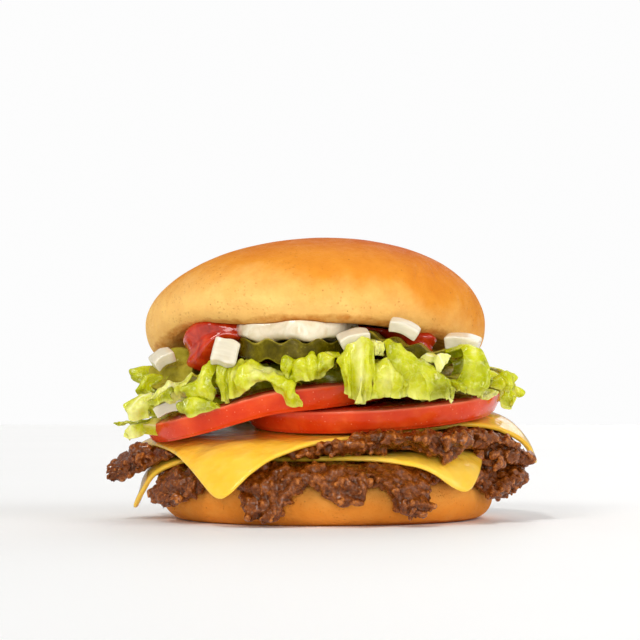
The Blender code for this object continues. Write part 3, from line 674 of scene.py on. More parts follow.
class Bed:
    """What a layer lies on: flat out to the rim, then bent down over it to a hang angle."""

    def __init__(self, height, bend, slope, hang, lobes=()):
        self.height = height
        self.bend = bend
        self.slope = slope
        self.hang = hang
        self.lobes = lobes

    def hang_at(self, angle):
        return np.radians(self.hang + lobes_at(angle, self.lobes))

    def turn(self, path, angle):
        """How far the bed has turned down at a path length from the axis."""
        return np.minimum(np.maximum(0.0, path - RIM_RADIUS) / self.bend, self.hang_at(angle))

    def point(self, path, angle, lift):
        """The points at path lengths from the axis, lifted off the bed."""
        hang, turn = self.hang_at(angle), self.turn(path, angle)
        straight = np.maximum(0.0, path - RIM_RADIUS - self.bend * hang)
        radius = np.minimum(path, RIM_RADIUS) + (self.bend + lift) * np.sin(turn)
        radius = radius + straight * np.cos(hang)
        drop = self.bend * (1 - np.cos(turn)) + straight * np.sin(hang)
        x, y = radius * np.cos(angle), radius * np.sin(angle)
        z = self.height - drop + lift * np.cos(turn) + self.slope[0] * x + self.slope[1] * y
        return np.stack(np.broadcast_arrays(x, y, z), axis=-1)


LOWER_HANG = [(-150, 22, -14), (-16, 22, -24)]
LOWER_PATTY_BED = Bed(HEEL_HEIGHT + GAP, HEEL_SHOULDER + 5 * GAP, (0.0, 0.0), 74, LOWER_HANG)
LOWER_CHEESE_BED = Bed(
    LOWER_PATTY_BED.height + LOWER_PATTY_THICKNESS + GAP,
    LOWER_PATTY_BED.bend + PATTY_BEND_SHARE * LOWER_PATTY_THICKNESS + 2 * GAP,
    (0.03, 0.03),
    72,
    LOWER_HANG,
)
UPPER_PATTY_BED = Bed(
    LOWER_CHEESE_BED.height + CHEESE_THICKNESS + 1.3 * GAP,
    LOWER_CHEESE_BED.bend + CHEESE_THICKNESS + 2.8 * GAP,
    (0.03, 0.03),
    38,
    [(-172, 20, -10), (-15, 14, 6)],
)
UPPER_CHEESE_BED = Bed(
    UPPER_PATTY_BED.height + UPPER_PATTY_THICKNESS + GAP,
    UPPER_PATTY_BED.bend + PATTY_BEND_SHARE * UPPER_PATTY_THICKNESS + 1.5 * GAP,
    (0.06, 0.11),
    45,
    [(-119, 28, 22), (-5, 32, 22), (175, 30, -19)],
)

# Each lobe of a ragged edge is its direction, its half width and how far it reaches
LOWER_PATTY_LOBES = [
    (-10, 9, 9.0 * MM),
    (-24, 7, 8.5 * MM),
    (-64, 8, 11.5 * MM),
    (-84.5, 8, 8.5 * MM),
    (-109, 10, 12.5 * MM),
    (-148, 14, 11 * MM),
    (168, 8, 5 * MM),
    (140, 10, 8 * MM),
    (108, 8, 6 * MM),
    (76, 10, 9 * MM),
    (40, 9, 7 * MM),
    (14, 7, 3 * MM),
]
UPPER_PATTY_LOBES = [
    (-172, 11, 20 * MM),
    (-76, 5, 1.5 * MM),
    (-50, 7.5, 8 * MM),
    (-30, 8, 5 * MM),
    (-15, 9, 13.5 * MM),
    (44, 9, 9 * MM),
    (88, 12, 7 * MM),
    (132, 10, 9 * MM),
]
LOWER_PATTY_SWELLS = [(-9, 9, 3.5 * MM)]

# Loose crumbs that fill out an edge: the middle and half size of their box in mm, and their number
LOWER_PATTY_FILLERS = [((51.0, -24.0, 20.0), (4.0, 5.5, 2.8), 60)]
UPPER_PATTY_FILLERS = [
    ((25.0, -48.3, 26.0), (17.0, 1.6, 1.0), 130),
    ((-58.5, -8.0, 22.0), (3.5, 5.0, 0.7), 40),
]

# Each corner of a cheese slice is its direction and its distance along the slice
LOWER_CHEESE_CORNERS = [(-47, 68 * MM), (35, 64 * MM), (110, 66 * MM), (-173, 73 * MM), (-92, 49 * MM)]
UPPER_CHEESE_CORNERS = [(-118, 74 * MM), (-5, 77 * MM), (72, 64 * MM), (163, 71 * MM)]


def slice_reach(angle, corners):
    """Distance from the axis to the edge of a cheese slice, its corners rounded off."""
    turns = [(math.radians(direction), reach) for direction, reach in corners]
    points = [Vector((reach * math.cos(turn), reach * math.sin(turn))) for turn, reach in turns]
    total = np.zeros_like(angle)
    for here, after in zip(points, points[1:] + points[:1]):
        along = (after - here).normalized()
        outward = Vector((along.y, -along.x))
        facing = outward.x * np.cos(angle) + outward.y * np.sin(angle)
        total += np.maximum(0.0, facing / outward.dot(here)) ** CHEESE_SQUARENESS
    return total ** (-1 / CHEESE_SQUARENESS)


def ragged_edge(angle, seed):
    """The small unevenness of a patty's edge."""
    flat = np.atleast_1d(angle).reshape(-1)
    made = []
    for turn in flat:
        way = Vector((math.cos(turn), math.sin(turn), 0.0))
        wide = noise.noise(way / 0.16 + Vector((seed, seed * 1.7, seed * 0.6)))
        fine = noise.noise(way / 0.07 + Vector((seed + 9, (seed + 9) * 1.7, (seed + 9) * 0.6)))
        made.append(wide * 2.0 * MM + fine * 1.6 * MM)
    return np.array(made).reshape(np.shape(angle))


class Patty:
    """The form of one patty, as path lengths and lifts off its bed."""

    def __init__(self, bed, thickness, above, corners, lobes, swells, seed, fillers):
        self.bed = bed
        self.fillers = fillers
        self.thickness = thickness
        self.above = above
        self.corners = corners
        self.lobes = lobes
        self.swells = swells
        self.seed = seed

    def length(self, angle):
        return PATTY_REACH + lobes_at(angle, self.lobes) + ragged_edge(angle, self.seed)

    def covered(self, angle):
        """How far out the cheese lies on this patty."""
        return np.maximum(RIM_RADIUS, slice_reach(angle, self.corners)) + 1.5 * MM

    def lift(self, path, angle, rise):
        """Height off the bed, from 0 under the patty to its full thickness at a rise of 1."""
        flat = np.minimum(path, RIM_RADIUS)
        wedge = (self.above.slope[0] - self.bed.slope[0]) * flat * np.cos(angle)
        wedge = wedge + (self.above.slope[1] - self.bed.slope[1]) * flat * np.sin(angle)
        turn = self.bed.turn(path, angle)
        bent = PATTY_BEND_SHARE * self.thickness
        body = (self.thickness - bent + wedge) * np.cos(turn) + bent - PATTY_SLACK * np.sin(turn)
        clear = np.clip((path - self.covered(angle)) / (3 * MM), 0.0, 1.0)
        brow = PATTY_BROW + lobes_at(angle, self.swells)
        return rise * (body + brow * clear)

    def point(self, path, angle, rise):
        return self.bed.point(path, angle, self.lift(path, angle, rise))


PATTY_COLUMNS = 480
PATTY_HIDDEN_REACH = 36.0 * MM
PATTY_VOXEL = 0.44 * MM
PATTY_LUMP = 0.95 * MM
PATTY_FACES_KEPT = 0.42
FLOOR_GAP = 0.3 * MM
CRUMB_SIZES = (0.5 * MM, 1.5 * MM)
CRUMB_COUNT = 3200
CRUMBS_ON_EDGE = 0.5
CRUMBS_ON_TOP = 0.4
CREVICE_SIZES = (5.5 * MM, 2.7 * MM)
CRAG_DEPTH = 0.26 * MM
GROOVE_DEPTH = 0.45 * MM
RELIEF_PASSES = 22
RELIEF_DEPTH = 2.4 * MM
FILLER_SIZES = (1.1 * MM, 2.0 * MM)


def crumb_form():
    """The points and faces of a small round lump."""
    bm = bmesh.new()
    bmesh.ops.create_icosphere(bm, subdivisions=2, radius=1.0)
    points = np.array([v.co for v in bm.verts])
    faces = np.array([[v.index for v in f.verts] for f in bm.faces])
    bm.free()
    return points, faces


def random_turns(random, count):
    """Random rotation matrices."""
    four = random.normal(size=(4, count))
    w, x, y, z = four / np.linalg.norm(four, axis=0)
    rows = [
        [1 - 2 * (y * y + z * z), 2 * (x * y - z * w), 2 * (x * z + y * w)],
        [2 * (x * y + z * w), 1 - 2 * (x * x + z * z), 2 * (y * z - x * w)],
        [2 * (x * z - y * w), 2 * (y * z + x * w), 1 - 2 * (x * x + y * y)],
    ]
    return np.moveaxis(np.array(rows), -1, 0)


def crumb_centres(patty, random, count):
    """Places for crumbs on the edge, on the bare top and under a patty, and their sizes."""
    angle = random.uniform(-np.pi, np.pi, count)
    size = CRUMB_SIZES[0] + (CRUMB_SIZES[1] - CRUMB_SIZES[0]) * random.uniform(0, 1, count) ** 2.2
    length, covered = patty.length(angle), patty.covered(angle)
    kind = random.uniform(0, 1, count)
    on_edge = kind < CRUMBS_ON_EDGE
    on_top = ~on_edge & (kind < CRUMBS_ON_EDGE + CRUMBS_ON_TOP)
    path = length - size - random.uniform(-0.4, 2.0, count) * MM
    outer = random.uniform(0, 1, count)
    path = np.where(on_top, covered + size + outer * np.maximum(0.0, length - covered - size), path)
    path = np.where(~on_edge & ~on_top, length - 2 * MM - outer * 11 * MM, path)
    rise = np.where(on_edge, random.uniform(0.2, 0.85, count), np.where(on_top, 0.9, 0.2))
    rise = np.where((rise > 0.6) & (path < covered), 0.6, rise)
    keep = ~(on_top & (length < covered + size))
    return patty.point(path, angle, rise)[keep], size[keep]


def spread_average(values, ends, weights):
    """The average of each point's neighbours along its edges."""
    total = np.zeros_like(values)
    for axis in range(values.shape[1]):
        total[:, axis] = np.bincount(ends[:, 0], values[ends[:, 1], axis], len(values))
        total[:, axis] += np.bincount(ends[:, 1], values[ends[:, 0], axis], len(values))
    return total / weights[:, None]


def relief_of(piece, passes, depth):
    """How far each point stands out of its smoothed surroundings, from 0 deep to 1 high."""
    points = points_of(piece)
    ends = np.empty(len(piece.data.edges) * 2, np.int64)
    piece.data.edges.foreach_get("vertices", ends)
    ends = ends.reshape(-1, 2)
    weights = np.maximum(1, np.bincount(ends.reshape(-1), minlength=len(points)))
    smoothed = points
    for _ in range(passes):
        smoothed = 0.3 * smoothed + 0.7 * spread_average(smoothed, ends, weights)
    out = ((points - smoothed) * points_of(piece, "normal")).sum(axis=1)
    return np.clip(0.5 + out / depth, 0, 1)


def make_patty(name, node, patty, look):
    """A crumbly patty: the CAD form, set with crumbs, melted together and broken up by crevices."""
    random = np.random.default_rng(100 + patty.seed)
    angle = full_turn(PATTY_COLUMNS)[None, :]
    length = patty.length(angle) - 0.9 * MM
    rings = []
    for share in np.linspace(0.0, 0.94, 18):
        path = PATTY_HIDDEN_REACH + (length - PATTY_HIDDEN_REACH) * share
        rings.append(patty.point(path, angle, 0.02))
    for rise in (0.2, 0.5, 0.8):
        rings.append(patty.point(length * (1 - 0.01 * abs(rise - 0.5)), angle, rise))
    for share in np.linspace(0.94, 0.0, 18):
        path = PATTY_HIDDEN_REACH + (length - PATTY_HIDDEN_REACH) * share
        rings.append(patty.point(path, angle, 1.0))
    rings = np.array(rings).reshape(-1, PATTY_COLUMNS, 3)
    points = rings.reshape(-1, 3)
    points = points + 0.5 * MM * rough_noise(points, 6 * MM, patty.seed)[:, None] * np.array([0, 0, 1.0])
    faces = ring_faces(len(rings), PATTY_COLUMNS, cyclic=True).tolist()
    centres, sizes = crumb_centres(patty, random, CRUMB_COUNT)
    for place, reach, count in patty.fillers:
        spots = place + np.array(reach) * random.uniform(-1, 1, (count, 3))
        centres = np.concatenate([centres, spots * MM])
        sizes = np.concatenate([sizes, random.uniform(*FILLER_SIZES, count)])
    lump, lump_faces = crumb_form()
    scales = sizes[:, None] * random.uniform(0.45, 1.55, (len(sizes), 3))
    lumps = (lump[None] * scales[:, None, :]) @ random_turns(random, len(sizes)).transpose(0, 2, 1)
    lumps = lumps + centres[:, None, :]
    lumps += 0.55 * sizes[:, None, None] * smooth_noise(lumps, 0.9 * MM, 5)[..., None]
    offset = len(points) + np.arange(len(sizes)) * len(lump)
    crumb_faces = (lump_faces[None] + offset[:, None, None]).reshape(-1, 3).tolist()
    piece = mesh_piece(name, np.concatenate([points, lumps.reshape(-1, 3)]), faces + crumb_faces, look)
    face_out(piece)
    melt = piece.modifiers.new("melt together", "REMESH")
    melt.mode = "VOXEL"
    melt.voxel_size = PATTY_VOXEL
    apply_modifiers(piece)
    here, out = points_of(piece), points_of(piece, "normal")
    billows = 2.2 * np.abs(smooth_noise(here, CREVICE_SIZES[0], patty.seed + 40))
    billows += 1.5 * np.abs(smooth_noise(here, CREVICE_SIZES[1], patty.seed + 50))
    crag = CRAG_DEPTH * rough_noise(here, 1.3 * MM, patty.seed + 20, 2, 0.8)
    crag += GROOVE_DEPTH * (0.5 - 2 * np.abs(smooth_noise(here, 2.6 * MM, patty.seed + 60)))
    here = here + out * (crag + PATTY_LUMP * (np.minimum(billows, 1.4) - 1.0))[:, None]
    here[:, 2] = np.maximum(here[:, 2], FLOOR_GAP)
    set_points(piece, here)
    # The relief feeds the beef's painted shade in the crevices and painted light on the crumbs
    give_values(piece, "relief", relief_of(piece, RELIEF_PASSES, RELIEF_DEPTH))
    fewer = piece.modifiers.new("fewer faces", "DECIMATE")
    fewer.ratio = PATTY_FACES_KEPT
    apply_modifiers(piece)
    piece.data.shade_smooth()
    add_middle(piece, patty)
    return stand_for(piece, [node])


def add_middle(piece, patty):
    """Closes the hidden middle of a patty with a plain disc."""
    angle = full_turn(64)[None, :]
    path = np.array([1.0, 0.6, 0.2, 0.2, 0.6, 1.0])[:, None] * (PATTY_HIDDEN_REACH + 1.5 * MM)
    rise = np.array([0.06, 0.06, 0.06, 0.94, 0.94, 0.94])[:, None]
    middle = ring_piece("middle", patty.point(path, angle, rise), piece.data.materials[0])
    give_values(middle, "relief", np.full(len(middle.data.vertices), 0.5))
    with bpy.context.temp_override(active_object=piece, selected_editable_objects=[piece, middle]):
        bpy.ops.object.join()


def make_cheese(name, node, bed, corners, seed, look):
    """A square slice, softened so that its corners hang over the rim and its edges are round."""
    angle = full_turn(CHEESE_COLUMNS)[None, :]
    half = CHEESE_THICKNESS / 2
    length = slice_reach(angle, corners) - half
    start = np.minimum(RIM_RADIUS, 0.8 * length)
    paths, lifts = [], []
    for share in [*np.linspace(0.02, 0.95, 6), *np.linspace(1.0, 1.98, 26)]:
        paths.append(start * min(1.0, share) + (length - start) * max(0.0, share - 1))
        lifts.append(0.0)
    for turn in np.linspace(-np.pi / 2, np.pi / 2, 9):
        paths.append(length + half * math.cos(turn))
        lifts.append(half + half * math.sin(turn))
    for share in [*np.linspace(1.98, 1.0, 30), *np.linspace(0.95, 0.02, 6)]:
        paths.append(start * min(1.0, share) + (length - start) * max(0.0, share - 1))
        lifts.append(CHEESE_THICKNESS)
    path = np.array([p * np.ones_like(angle) for p in paths]).reshape(len(paths), -1)
    lift = np.array(lifts)[:, None] * np.ones_like(path)
    flat = bed.point(path, angle, 0.0)
    free = smooth_step(RIM_RADIUS - 2 * MM, RIM_RADIUS + 10 * MM, path)
    ripple = CHEESE_RIPPLES[0] * smooth_noise(flat, 13 * MM, seed)
    ripple = (ripple + CHEESE_RIPPLES[1] * rough_noise(flat, 6 * MM, seed + 3)) * free
    thin = 1 - 0.25 * smooth_step(0.6, 1.0, path / (length + half)) * (lift > half)
    rings = bed.point(path, angle, lift * thin + ripple)
    piece = ring_piece(name, rings, look)
    return stand_for(piece, [node])


# Tomatoes

CHEESE_BEND = 20.0 * MM
TOMATO_THICKNESS = 7.6 * MM
TOMATO_TAPER = 2.6 * MM
RIGHT_TOMATO = ((14.5 * MM, -7.0 * MM), 41.0 * MM, 0.7)
LEFT_TOMATO = ((-16.5 * MM, -9.0 * MM), 41.5 * MM, 2.9)
LEFT_TOMATO_FOLD_X = -17.0 * MM
LEFT_TOMATO_FOLD_WIDTH = 3.5 * MM
LEFT_TOMATO_DROP = 0.28
TOMATO_EDGE = 0.7 * MM
TOMATO_RIDGE = 0.9
TOMATO_SLOPE_WIDTH = 4.0 * MM
TOMATO_CHAMBERS = 5
TOMATO_COLUMNS = 300
CHAMBER_DEPTH = 0.7 * MM


def cheese_top(x, y):
    """Height of the upper cheese's top."""
    bed = UPPER_CHEESE_BED
    return bed.height + CHEESE_THICKNESS + GAP + bed.slope[0] * x + bed.slope[1] * y


def left_tomato_bed(x, y):
    """Height under the left slice, which lies on the right one and folds down off its left side."""
    share = (LEFT_TOMATO_FOLD_X - x) / LEFT_TOMATO_FOLD_WIDTH
    fold = LEFT_TOMATO_FOLD_WIDTH * np.log1p(np.exp(share))
    return cheese_top(x, y) + TOMATO_THICKNESS + GAP - LEFT_TOMATO_DROP * fold


def left_tomato_floor(x, y):
    """The cheese's top, which bends down outside the rim of the heap."""
    out = np.clip(np.hypot(x, y) - RIM_RADIUS, 0.0, 0.7 * CHEESE_BEND)
    return cheese_top(x, y) - CHEESE_BEND + np.sqrt(CHEESE_BEND**2 - out**2)


def right_tomato_ceiling(x, y):
    """The underside of the left slice, and far above it where the left slice doesn't reach."""
    under = np.maximum(left_tomato_bed(x, y), cheese_top(x, y) + GAP + 0.1 * MM)
    (centre_x, centre_y), radius, _ = LEFT_TOMATO
    return under + np.where(np.hypot(x - centre_x, y - centre_y) > radius, 1.0, 0.0)


def left_tomato_ceiling(x, y):
    return left_tomato_bed(x, y) + TOMATO_THICKNESS + 1 * MM


def make_tomato(name, form, bed, floor, ceiling, look):
    """A slice between its bed and the faces it may not pass, its skin running in towards the bottom."""
    centre, radius, seed = form
    angle = full_turn(TOMATO_COLUMNS)[None, :]
    outline = soft_round(np.pi - angle, seed, 0.006)
    shares, rises = [], []
    for share in np.linspace(0.02, 1.0, 8)[:-1]:
        shares.append(share * (radius - TOMATO_TAPER - TOMATO_EDGE))
        rises.append(0.0)
    for turn in np.linspace(0.1, np.pi / 2, 5):
        shares.append(radius - TOMATO_TAPER - TOMATO_EDGE * (1 - math.sin(turn)))
        rises.append(TOMATO_EDGE * (1 - math.cos(turn)) / TOMATO_THICKNESS)
    for rise in np.linspace(0.12, TOMATO_RIDGE, 16):
        belly = 0.3 * MM * math.sin(math.pi * rise / TOMATO_RIDGE)
        shares.append(radius - TOMATO_TAPER * (1 - rise / TOMATO_RIDGE) ** 1.2 + belly)
        rises.append(rise)
    for share in np.linspace(0.0, 1.0, 12)[1:]:
        shares.append(radius - TOMATO_SLOPE_WIDTH * share)
        rises.append(TOMATO_RIDGE + (1 - TOMATO_RIDGE) * math.sin(share * math.pi / 2) ** 1.1)
    for share in np.linspace(1.0, 0.02, 28)[1:]:
        shares.append(share * (radius - TOMATO_SLOPE_WIDTH))
        rises.append(1.0)
    reach, rise = np.array(shares)[:, None] * outline, np.array(rises)[:, None] * np.ones_like(angle)
    x, y = centre[0] + reach * np.cos(angle), centre[1] + reach * np.sin(angle)
    z = bed(x, y) + rise * TOMATO_THICKNESS
    flat = np.stack([x, y, z], axis=-1)
    share = reach / radius
    chamber = 0.5 + 0.5 * np.cos(TOMATO_CHAMBERS * angle + seed + 0.5 * np.sin(2 * angle))
    gel = smooth_step(0.3, 0.55, chamber) * smooth_step(0.32, 0.42, share) * smooth_step(0.86, 0.78, share)
    on_face = smooth_step(TOMATO_RIDGE + 0.005, TOMATO_RIDGE + 0.03, rise)
    dent = (CHAMBER_DEPTH * gel + 0.3 * MM * rough_noise(flat, 4 * MM, 7)) * on_face
    wall = 0.16 * MM * rough_noise(flat, 5 * MM, 17) * (1 - on_face)
    flat[..., 2] -= dent
    push_out(flat, angle, wall)
    flat[..., 2] = np.maximum(flat[..., 2], floor(x, y) + 0.02 * MM * rise)
    flat[..., 2] = np.minimum(flat[..., 2], ceiling(x, y) - GAP - 0.05 * MM * (1 - rise))
    piece = ring_piece(f"{name}_slice", flat, look)
    # Marks the ridge for its painted highlight, stored as the edge value
    top_edge = smooth_step(0.09, 0.0, np.abs(rise - TOMATO_RIDGE)) * smooth_step(0.9, 0.97, share)
    for label, values in (("edge", top_edge), ("gel", gel * on_face), ("cut", on_face)):
        give_values(piece, label, np.append(values.reshape(-1), [0.0, 0.0]))
    return stand_for(piece, [name])


# Pickles

PICKLE_WAVE = 0.8 * MM
PICKLE_WAVELENGTH = 7.6 * MM
PICKLE_EDGE = 0.8 * MM
PICKLE_COLUMNS = 140

# Each pickle: name, place in mm, tilt about X, Y and Z in degrees, radius and thickness in mm
PICKLES = [
    ("pickle_1", (-11.0, -35.5, 53.4), (4, 0, 2), 16.0, 6.2),
    ("pickle_2", (-47.8, -25.5, 46.3), (0, 55, -120), 8.4, 4.4),
    ("pickle_3", (21.0, -33.5, 54.4), (3, 15, -6), 16.0, 4.6),
    ("pickle_4", (35.2, -29.0, 45.0), (8, 11, -30), 12.5, 4.2),
    ("pickle_5", (-23.0, 44.5, 40.6), (-20, 6, 35), 11.0, 4.2),
    ("pickle_6", (24.2, 43.8, 42.4), (-10, -3, 80), 11.0, 4.2),
]


def placing(position, degrees):
    turn = Euler([math.radians(d) for d in degrees]).to_matrix().to_4x4()
    return Matrix.Translation(Vector(position) * MM) @ turn


def make_pickle(name, position, degrees, radius, thickness, look):
    """A crinkle-cut slice: wavy faces with a ring of seeds, and a bumpy skin round its side."""
    radius, half, edge = radius * MM, thickness * MM / 2, PICKLE_EDGE
    angle = full_turn(PICKLE_COLUMNS)[None, :]
    reaches = list(np.linspace(0.03, 0.96, 9) * (radius - edge))
    levels = [-half] * 9
    for turn in np.linspace(0.0, np.pi / 2, 6):
        reaches.append(radius - edge + edge * math.sin(turn))
        levels.append(-half + edge * (1 - math.cos(turn)))
    for level in np.linspace(-half + edge, half - edge, 8)[1:-1]:
        reaches.append(radius)
        levels.append(level)
    for turn in np.linspace(np.pi / 2, 0.0, 6):
        reaches.append(radius - edge + edge * math.sin(turn))
        levels.append(half - edge * (1 - math.cos(turn)))
    reaches += list(np.linspace(0.96, 0.03, 18) * (radius - edge))
    levels += [half] * 18
    reach = np.array(reaches)[:, None] * (1 + 0.012 * np.sin(3 * angle + 40 * radius / MM))
    level = np.array(levels)[:, None] * np.ones_like(angle)
    rings = turned(reach, angle, level)
    share = reach / radius
    # The pale face colour reaches onto the rounded edge: the cut flesh's own colour on the face, and
    # beyond it a painted light band along the top and bottom edges
    face = smooth_step(0.995, 0.97, share)
    seeds = smooth_step(0.25, 0.4, share) * smooth_step(0.78, 0.66, share)
    bumps = 0.16 * MM * rough_noise(rings, 1.8 * MM, 9) * (1 - 0.5 * face)
    wave = PICKLE_WAVE * np.cos(2 * np.pi * rings[..., 0] / PICKLE_WAVELENGTH)
    dent = 0.3 * MM * seeds * rough_noise(rings, 2.6 * MM, 19)
    rings[..., 2] += wave + (bumps - dent) * np.sign(level)
    rings[..., :2] *= (1 + bumps * (1 - face) / radius)[..., None]
    piece = ring_piece(f"{name}_slice", rings, look)
    give_values(piece, "cut", np.append(face.reshape(-1), [1.0, 1.0]))
    give_values(piece, "gel", np.append(seeds.reshape(-1), [0.0, 0.0]))
    piece.matrix_world = placing(position, degrees)
    return stand_for(piece, [name])


# Onions

ONION_BOW = 0.9 * MM
ONION_SQUARENESS = 16
ONION_CUTS = 11
ONION_RELIEF = 0.12 * MM

# Each dice of onion: name, place in mm, tilt in degrees, and length, depth and thickness in mm
ONIONS = [
    ("onion_1", (-51.0, -31.0, 50.4), (24, -30, 16), (7.4, 5.4, 3.6)),
    ("onion_2", (-31.0, -49.0, 51.8), (66, 14, 2), (8.0, 7.8, 4.0)),
    ("onion_3", (7.8, -50.2, 56.0), (20, -14, 6), (9.8, 6.5, 3.4)),
    ("onion_4", (22.8, -49.5, 59.0), (24, 22, -4), (9.6, 4.6, 3.4)),
    ("onion_5", (41.3, -37.0, 55.2), (14, 8, -14), (11.0, 7.0, 3.8)),
    ("onion_6", (-47.8, -35.6, 35.3), (9, -15, -18), (10.2, 6.0, 3.4)),
    ("onion_7", (-2.5, 48.5, 40.3), (-24, 6, 30), (9.0, 7.0, 3.6)),
    ("onion_8", (42.0, 30.5, 44.0), (-14, 10, -35), (9.5, 7.0, 3.6)),
]


def noise_way(place):
    """A small vector of soft noise for a place, the same on each run."""
    return Vector([noise.noise(place + Vector((17.3, 5.1, -9.7)) * axis) for axis in range(3)])


def make_onion(name, position, degrees, size, look):
    """A dice of onion: a short stretch of one curved layer, its cut edges softly rounded."""
    piece = mesh_piece(f"{name}_dice", np.zeros((0, 3)), [], look)
    bm = bmesh.new()
    bmesh.ops.create_cube(bm, size=1.0)
    bmesh.ops.subdivide_edges(bm, edges=bm.edges[:], cuts=ONION_CUTS, use_grid_fill=True)
    length, depth, thick = (s * MM for s in size)
    for vert in bm.verts:
        x, y, z = vert.co
        squared = sum((2 * part) ** ONION_SQUARENESS for part in (x, y, z))
        soft = 1 / max(1.0, squared ** (1 / ONION_SQUARENESS))
        x, y, z = x * soft, y * soft, z * soft
        narrow = 0.93 + 0.14 * z
        bow = ONION_BOW * (1 - (2 * x) ** 2)
        vert.co = (x * length * narrow, y * depth * (1 + 0.06 * math.sin(9 * x)), z * thick + bow)
        vert.co += ONION_RELIEF * noise_way(vert.co / (2.5 * MM) + Vector(position))
    bm.to_mesh(piece.data)
    bm.free()
    piece.data.shade_smooth()
    piece.matrix_world = placing(position, degrees)
    return stand_for(piece, [name])


# Sauces

# Each profile runs from the hidden middle over the edge: share of the reach, and share of the depth down
KETCHUP_PROFILE = [
    (0.3, 1.0), (0.6, 1.0), (0.84, 1.0), (0.97, 0.95),
    (1.0, 0.5), (1.0, 0.0), (0.97, -0.3), (0.7, -0.3),
]
MAYO_PROFILE = [
    (0.2, 1.0), (0.7, 1.0), (0.95, 0.8), (1.0, 0.45),
    (1.0, 0.0), (0.97, -0.12), (0.7, -0.12), (0.2, -0.12),
]
KETCHUP_REACH = 36.0 * MM
KETCHUP_SKIN = 1.4 * MM
KETCHUP_RUNS = [(-137, 20, 14.5 * MM), (-44, 8, 14 * MM), (100, 14, 9 * MM)]
KETCHUP_DROPS = [
    (-140, 11, 12 * MM),
    (-118, 8, 3.5 * MM),
    (-44, 7, 6.5 * MM),
    (100, 14, 1.5 * MM),
]
MAYO_CENTRE = (-5.6 * MM, -36.0 * MM)
MAYO_RADII = (18.0 * MM, 14.5 * MM)
MAYO_THICKNESS = 4.0 * MM
MAYO_SAG = 1.4 * MM


def softened(profile, times):
    """A profile with its corners cut again and again, so that it becomes a smooth curve."""
    points = [np.array(p, float) for p in profile]
    for _ in range(times):
        cut = [points[0]]
        for here, after in zip(points, points[1:]):
            cut += [0.75 * here + 0.25 * after, 0.25 * here + 0.75 * after]
        points = [*cut, points[-1]]
    return np.array(points)


def make_ketchup(looks):
    """The ketchup spread under the crown, with the runs that swell out at its front in wet folds."""
    profile = softened(KETCHUP_PROFILE, 3)
    angle = full_turn(300)[None, :]
    share, down = profile[:, :1], profile[:, 1:]
    radius = share * (KETCHUP_REACH + lobes_at(angle, KETCHUP_RUNS))
    swell = np.clip((radius - 30 * MM) / (9 * MM), 0, 1)
    thick = KETCHUP_SKIN + lobes_at(angle, KETCHUP_DROPS) * swell
    fold = 0.8 * MM * np.sin(down * 9 + 2 * np.sin(5 * angle)) * smooth_step(3 * MM, 8 * MM, thick)
    x, y = radius * np.cos(angle), radius * np.sin(angle)
    z = crown_underside(x, y) - 2 * GAP - down * thick
    rings = np.stack([x, y, z], axis=-1)
    outward = (fold + 0.35 * MM * smooth_noise(rings, 3.5 * MM, 8)) * smooth_step(0.8, 0.95, share)
    push_out(rings, angle, outward)
    piece = ring_piece("ketchup_sauce", placed(rings, CROWN_MATRIX), looks["ketchup"])
    return stand_for(piece, ["ketchup"])


def make_mayonnaise(looks):
    """A spoonful of mayonnaise pressed flat under the front of the crown."""
    profile = softened(MAYO_PROFILE, 3)
    angle = full_turn(220)[None, :]
    share, down = profile[:, :1], profile[:, 1:]
    wavy = 1 + 0.06 * np.sin(4 * angle + 0.6) + 0.03 * np.sin(7 * angle)
    x = MAYO_CENTRE[0] + MAYO_RADII[0] * share * wavy * np.cos(angle)
    y = MAYO_CENTRE[1] + MAYO_RADII[1] * share * wavy * np.sin(angle)
    z = crown_underside(x, y) - GAP - down * MAYO_THICKNESS
    rings = np.stack([x, y, z], axis=-1)
    lump = 0.9 * MM * rough_noise(rings, 6 * MM, 12) * smooth_step(0.7, 0.95, share)
    push_out(rings, angle, lump)
    sag = MAYO_SAG * (1 + 0.8 * smooth_noise(rings, 7 * MM, 22))
    rings[..., 2] -= sag * smooth_step(0.2, 0.8, down)
    piece = ring_piece("mayonnaise_sauce", placed(rings, CROWN_MATRIX), looks["mayonnaise"])
    return stand_for(piece, ["mayonnaise"])


# Lettuce

LETTUCE_CORE_RADIUS = 38.0 * MM
LETTUCE_CORE_TOP = 49.5 * MM
LETTUCE_CORE_BOTTOM = 38.5 * MM
LEAF_THICKNESS = 0.4 * MM
LEAF_SHARP_ANGLE = math.radians(50)
LEAF_COLUMNS = 44
LEAF_ROWS = 30
LEAF_ROOT_LENGTH = 15.0 * MM
PLEAT_WIDTH = 4.5 * MM
PLEAT_DEPTH = 1.3 * MM
FRILL_DEPTH = 0.7 * MM
CRINKLE_DEPTHS = (1.1 * MM, 0.5 * MM, 0.05 * MM)

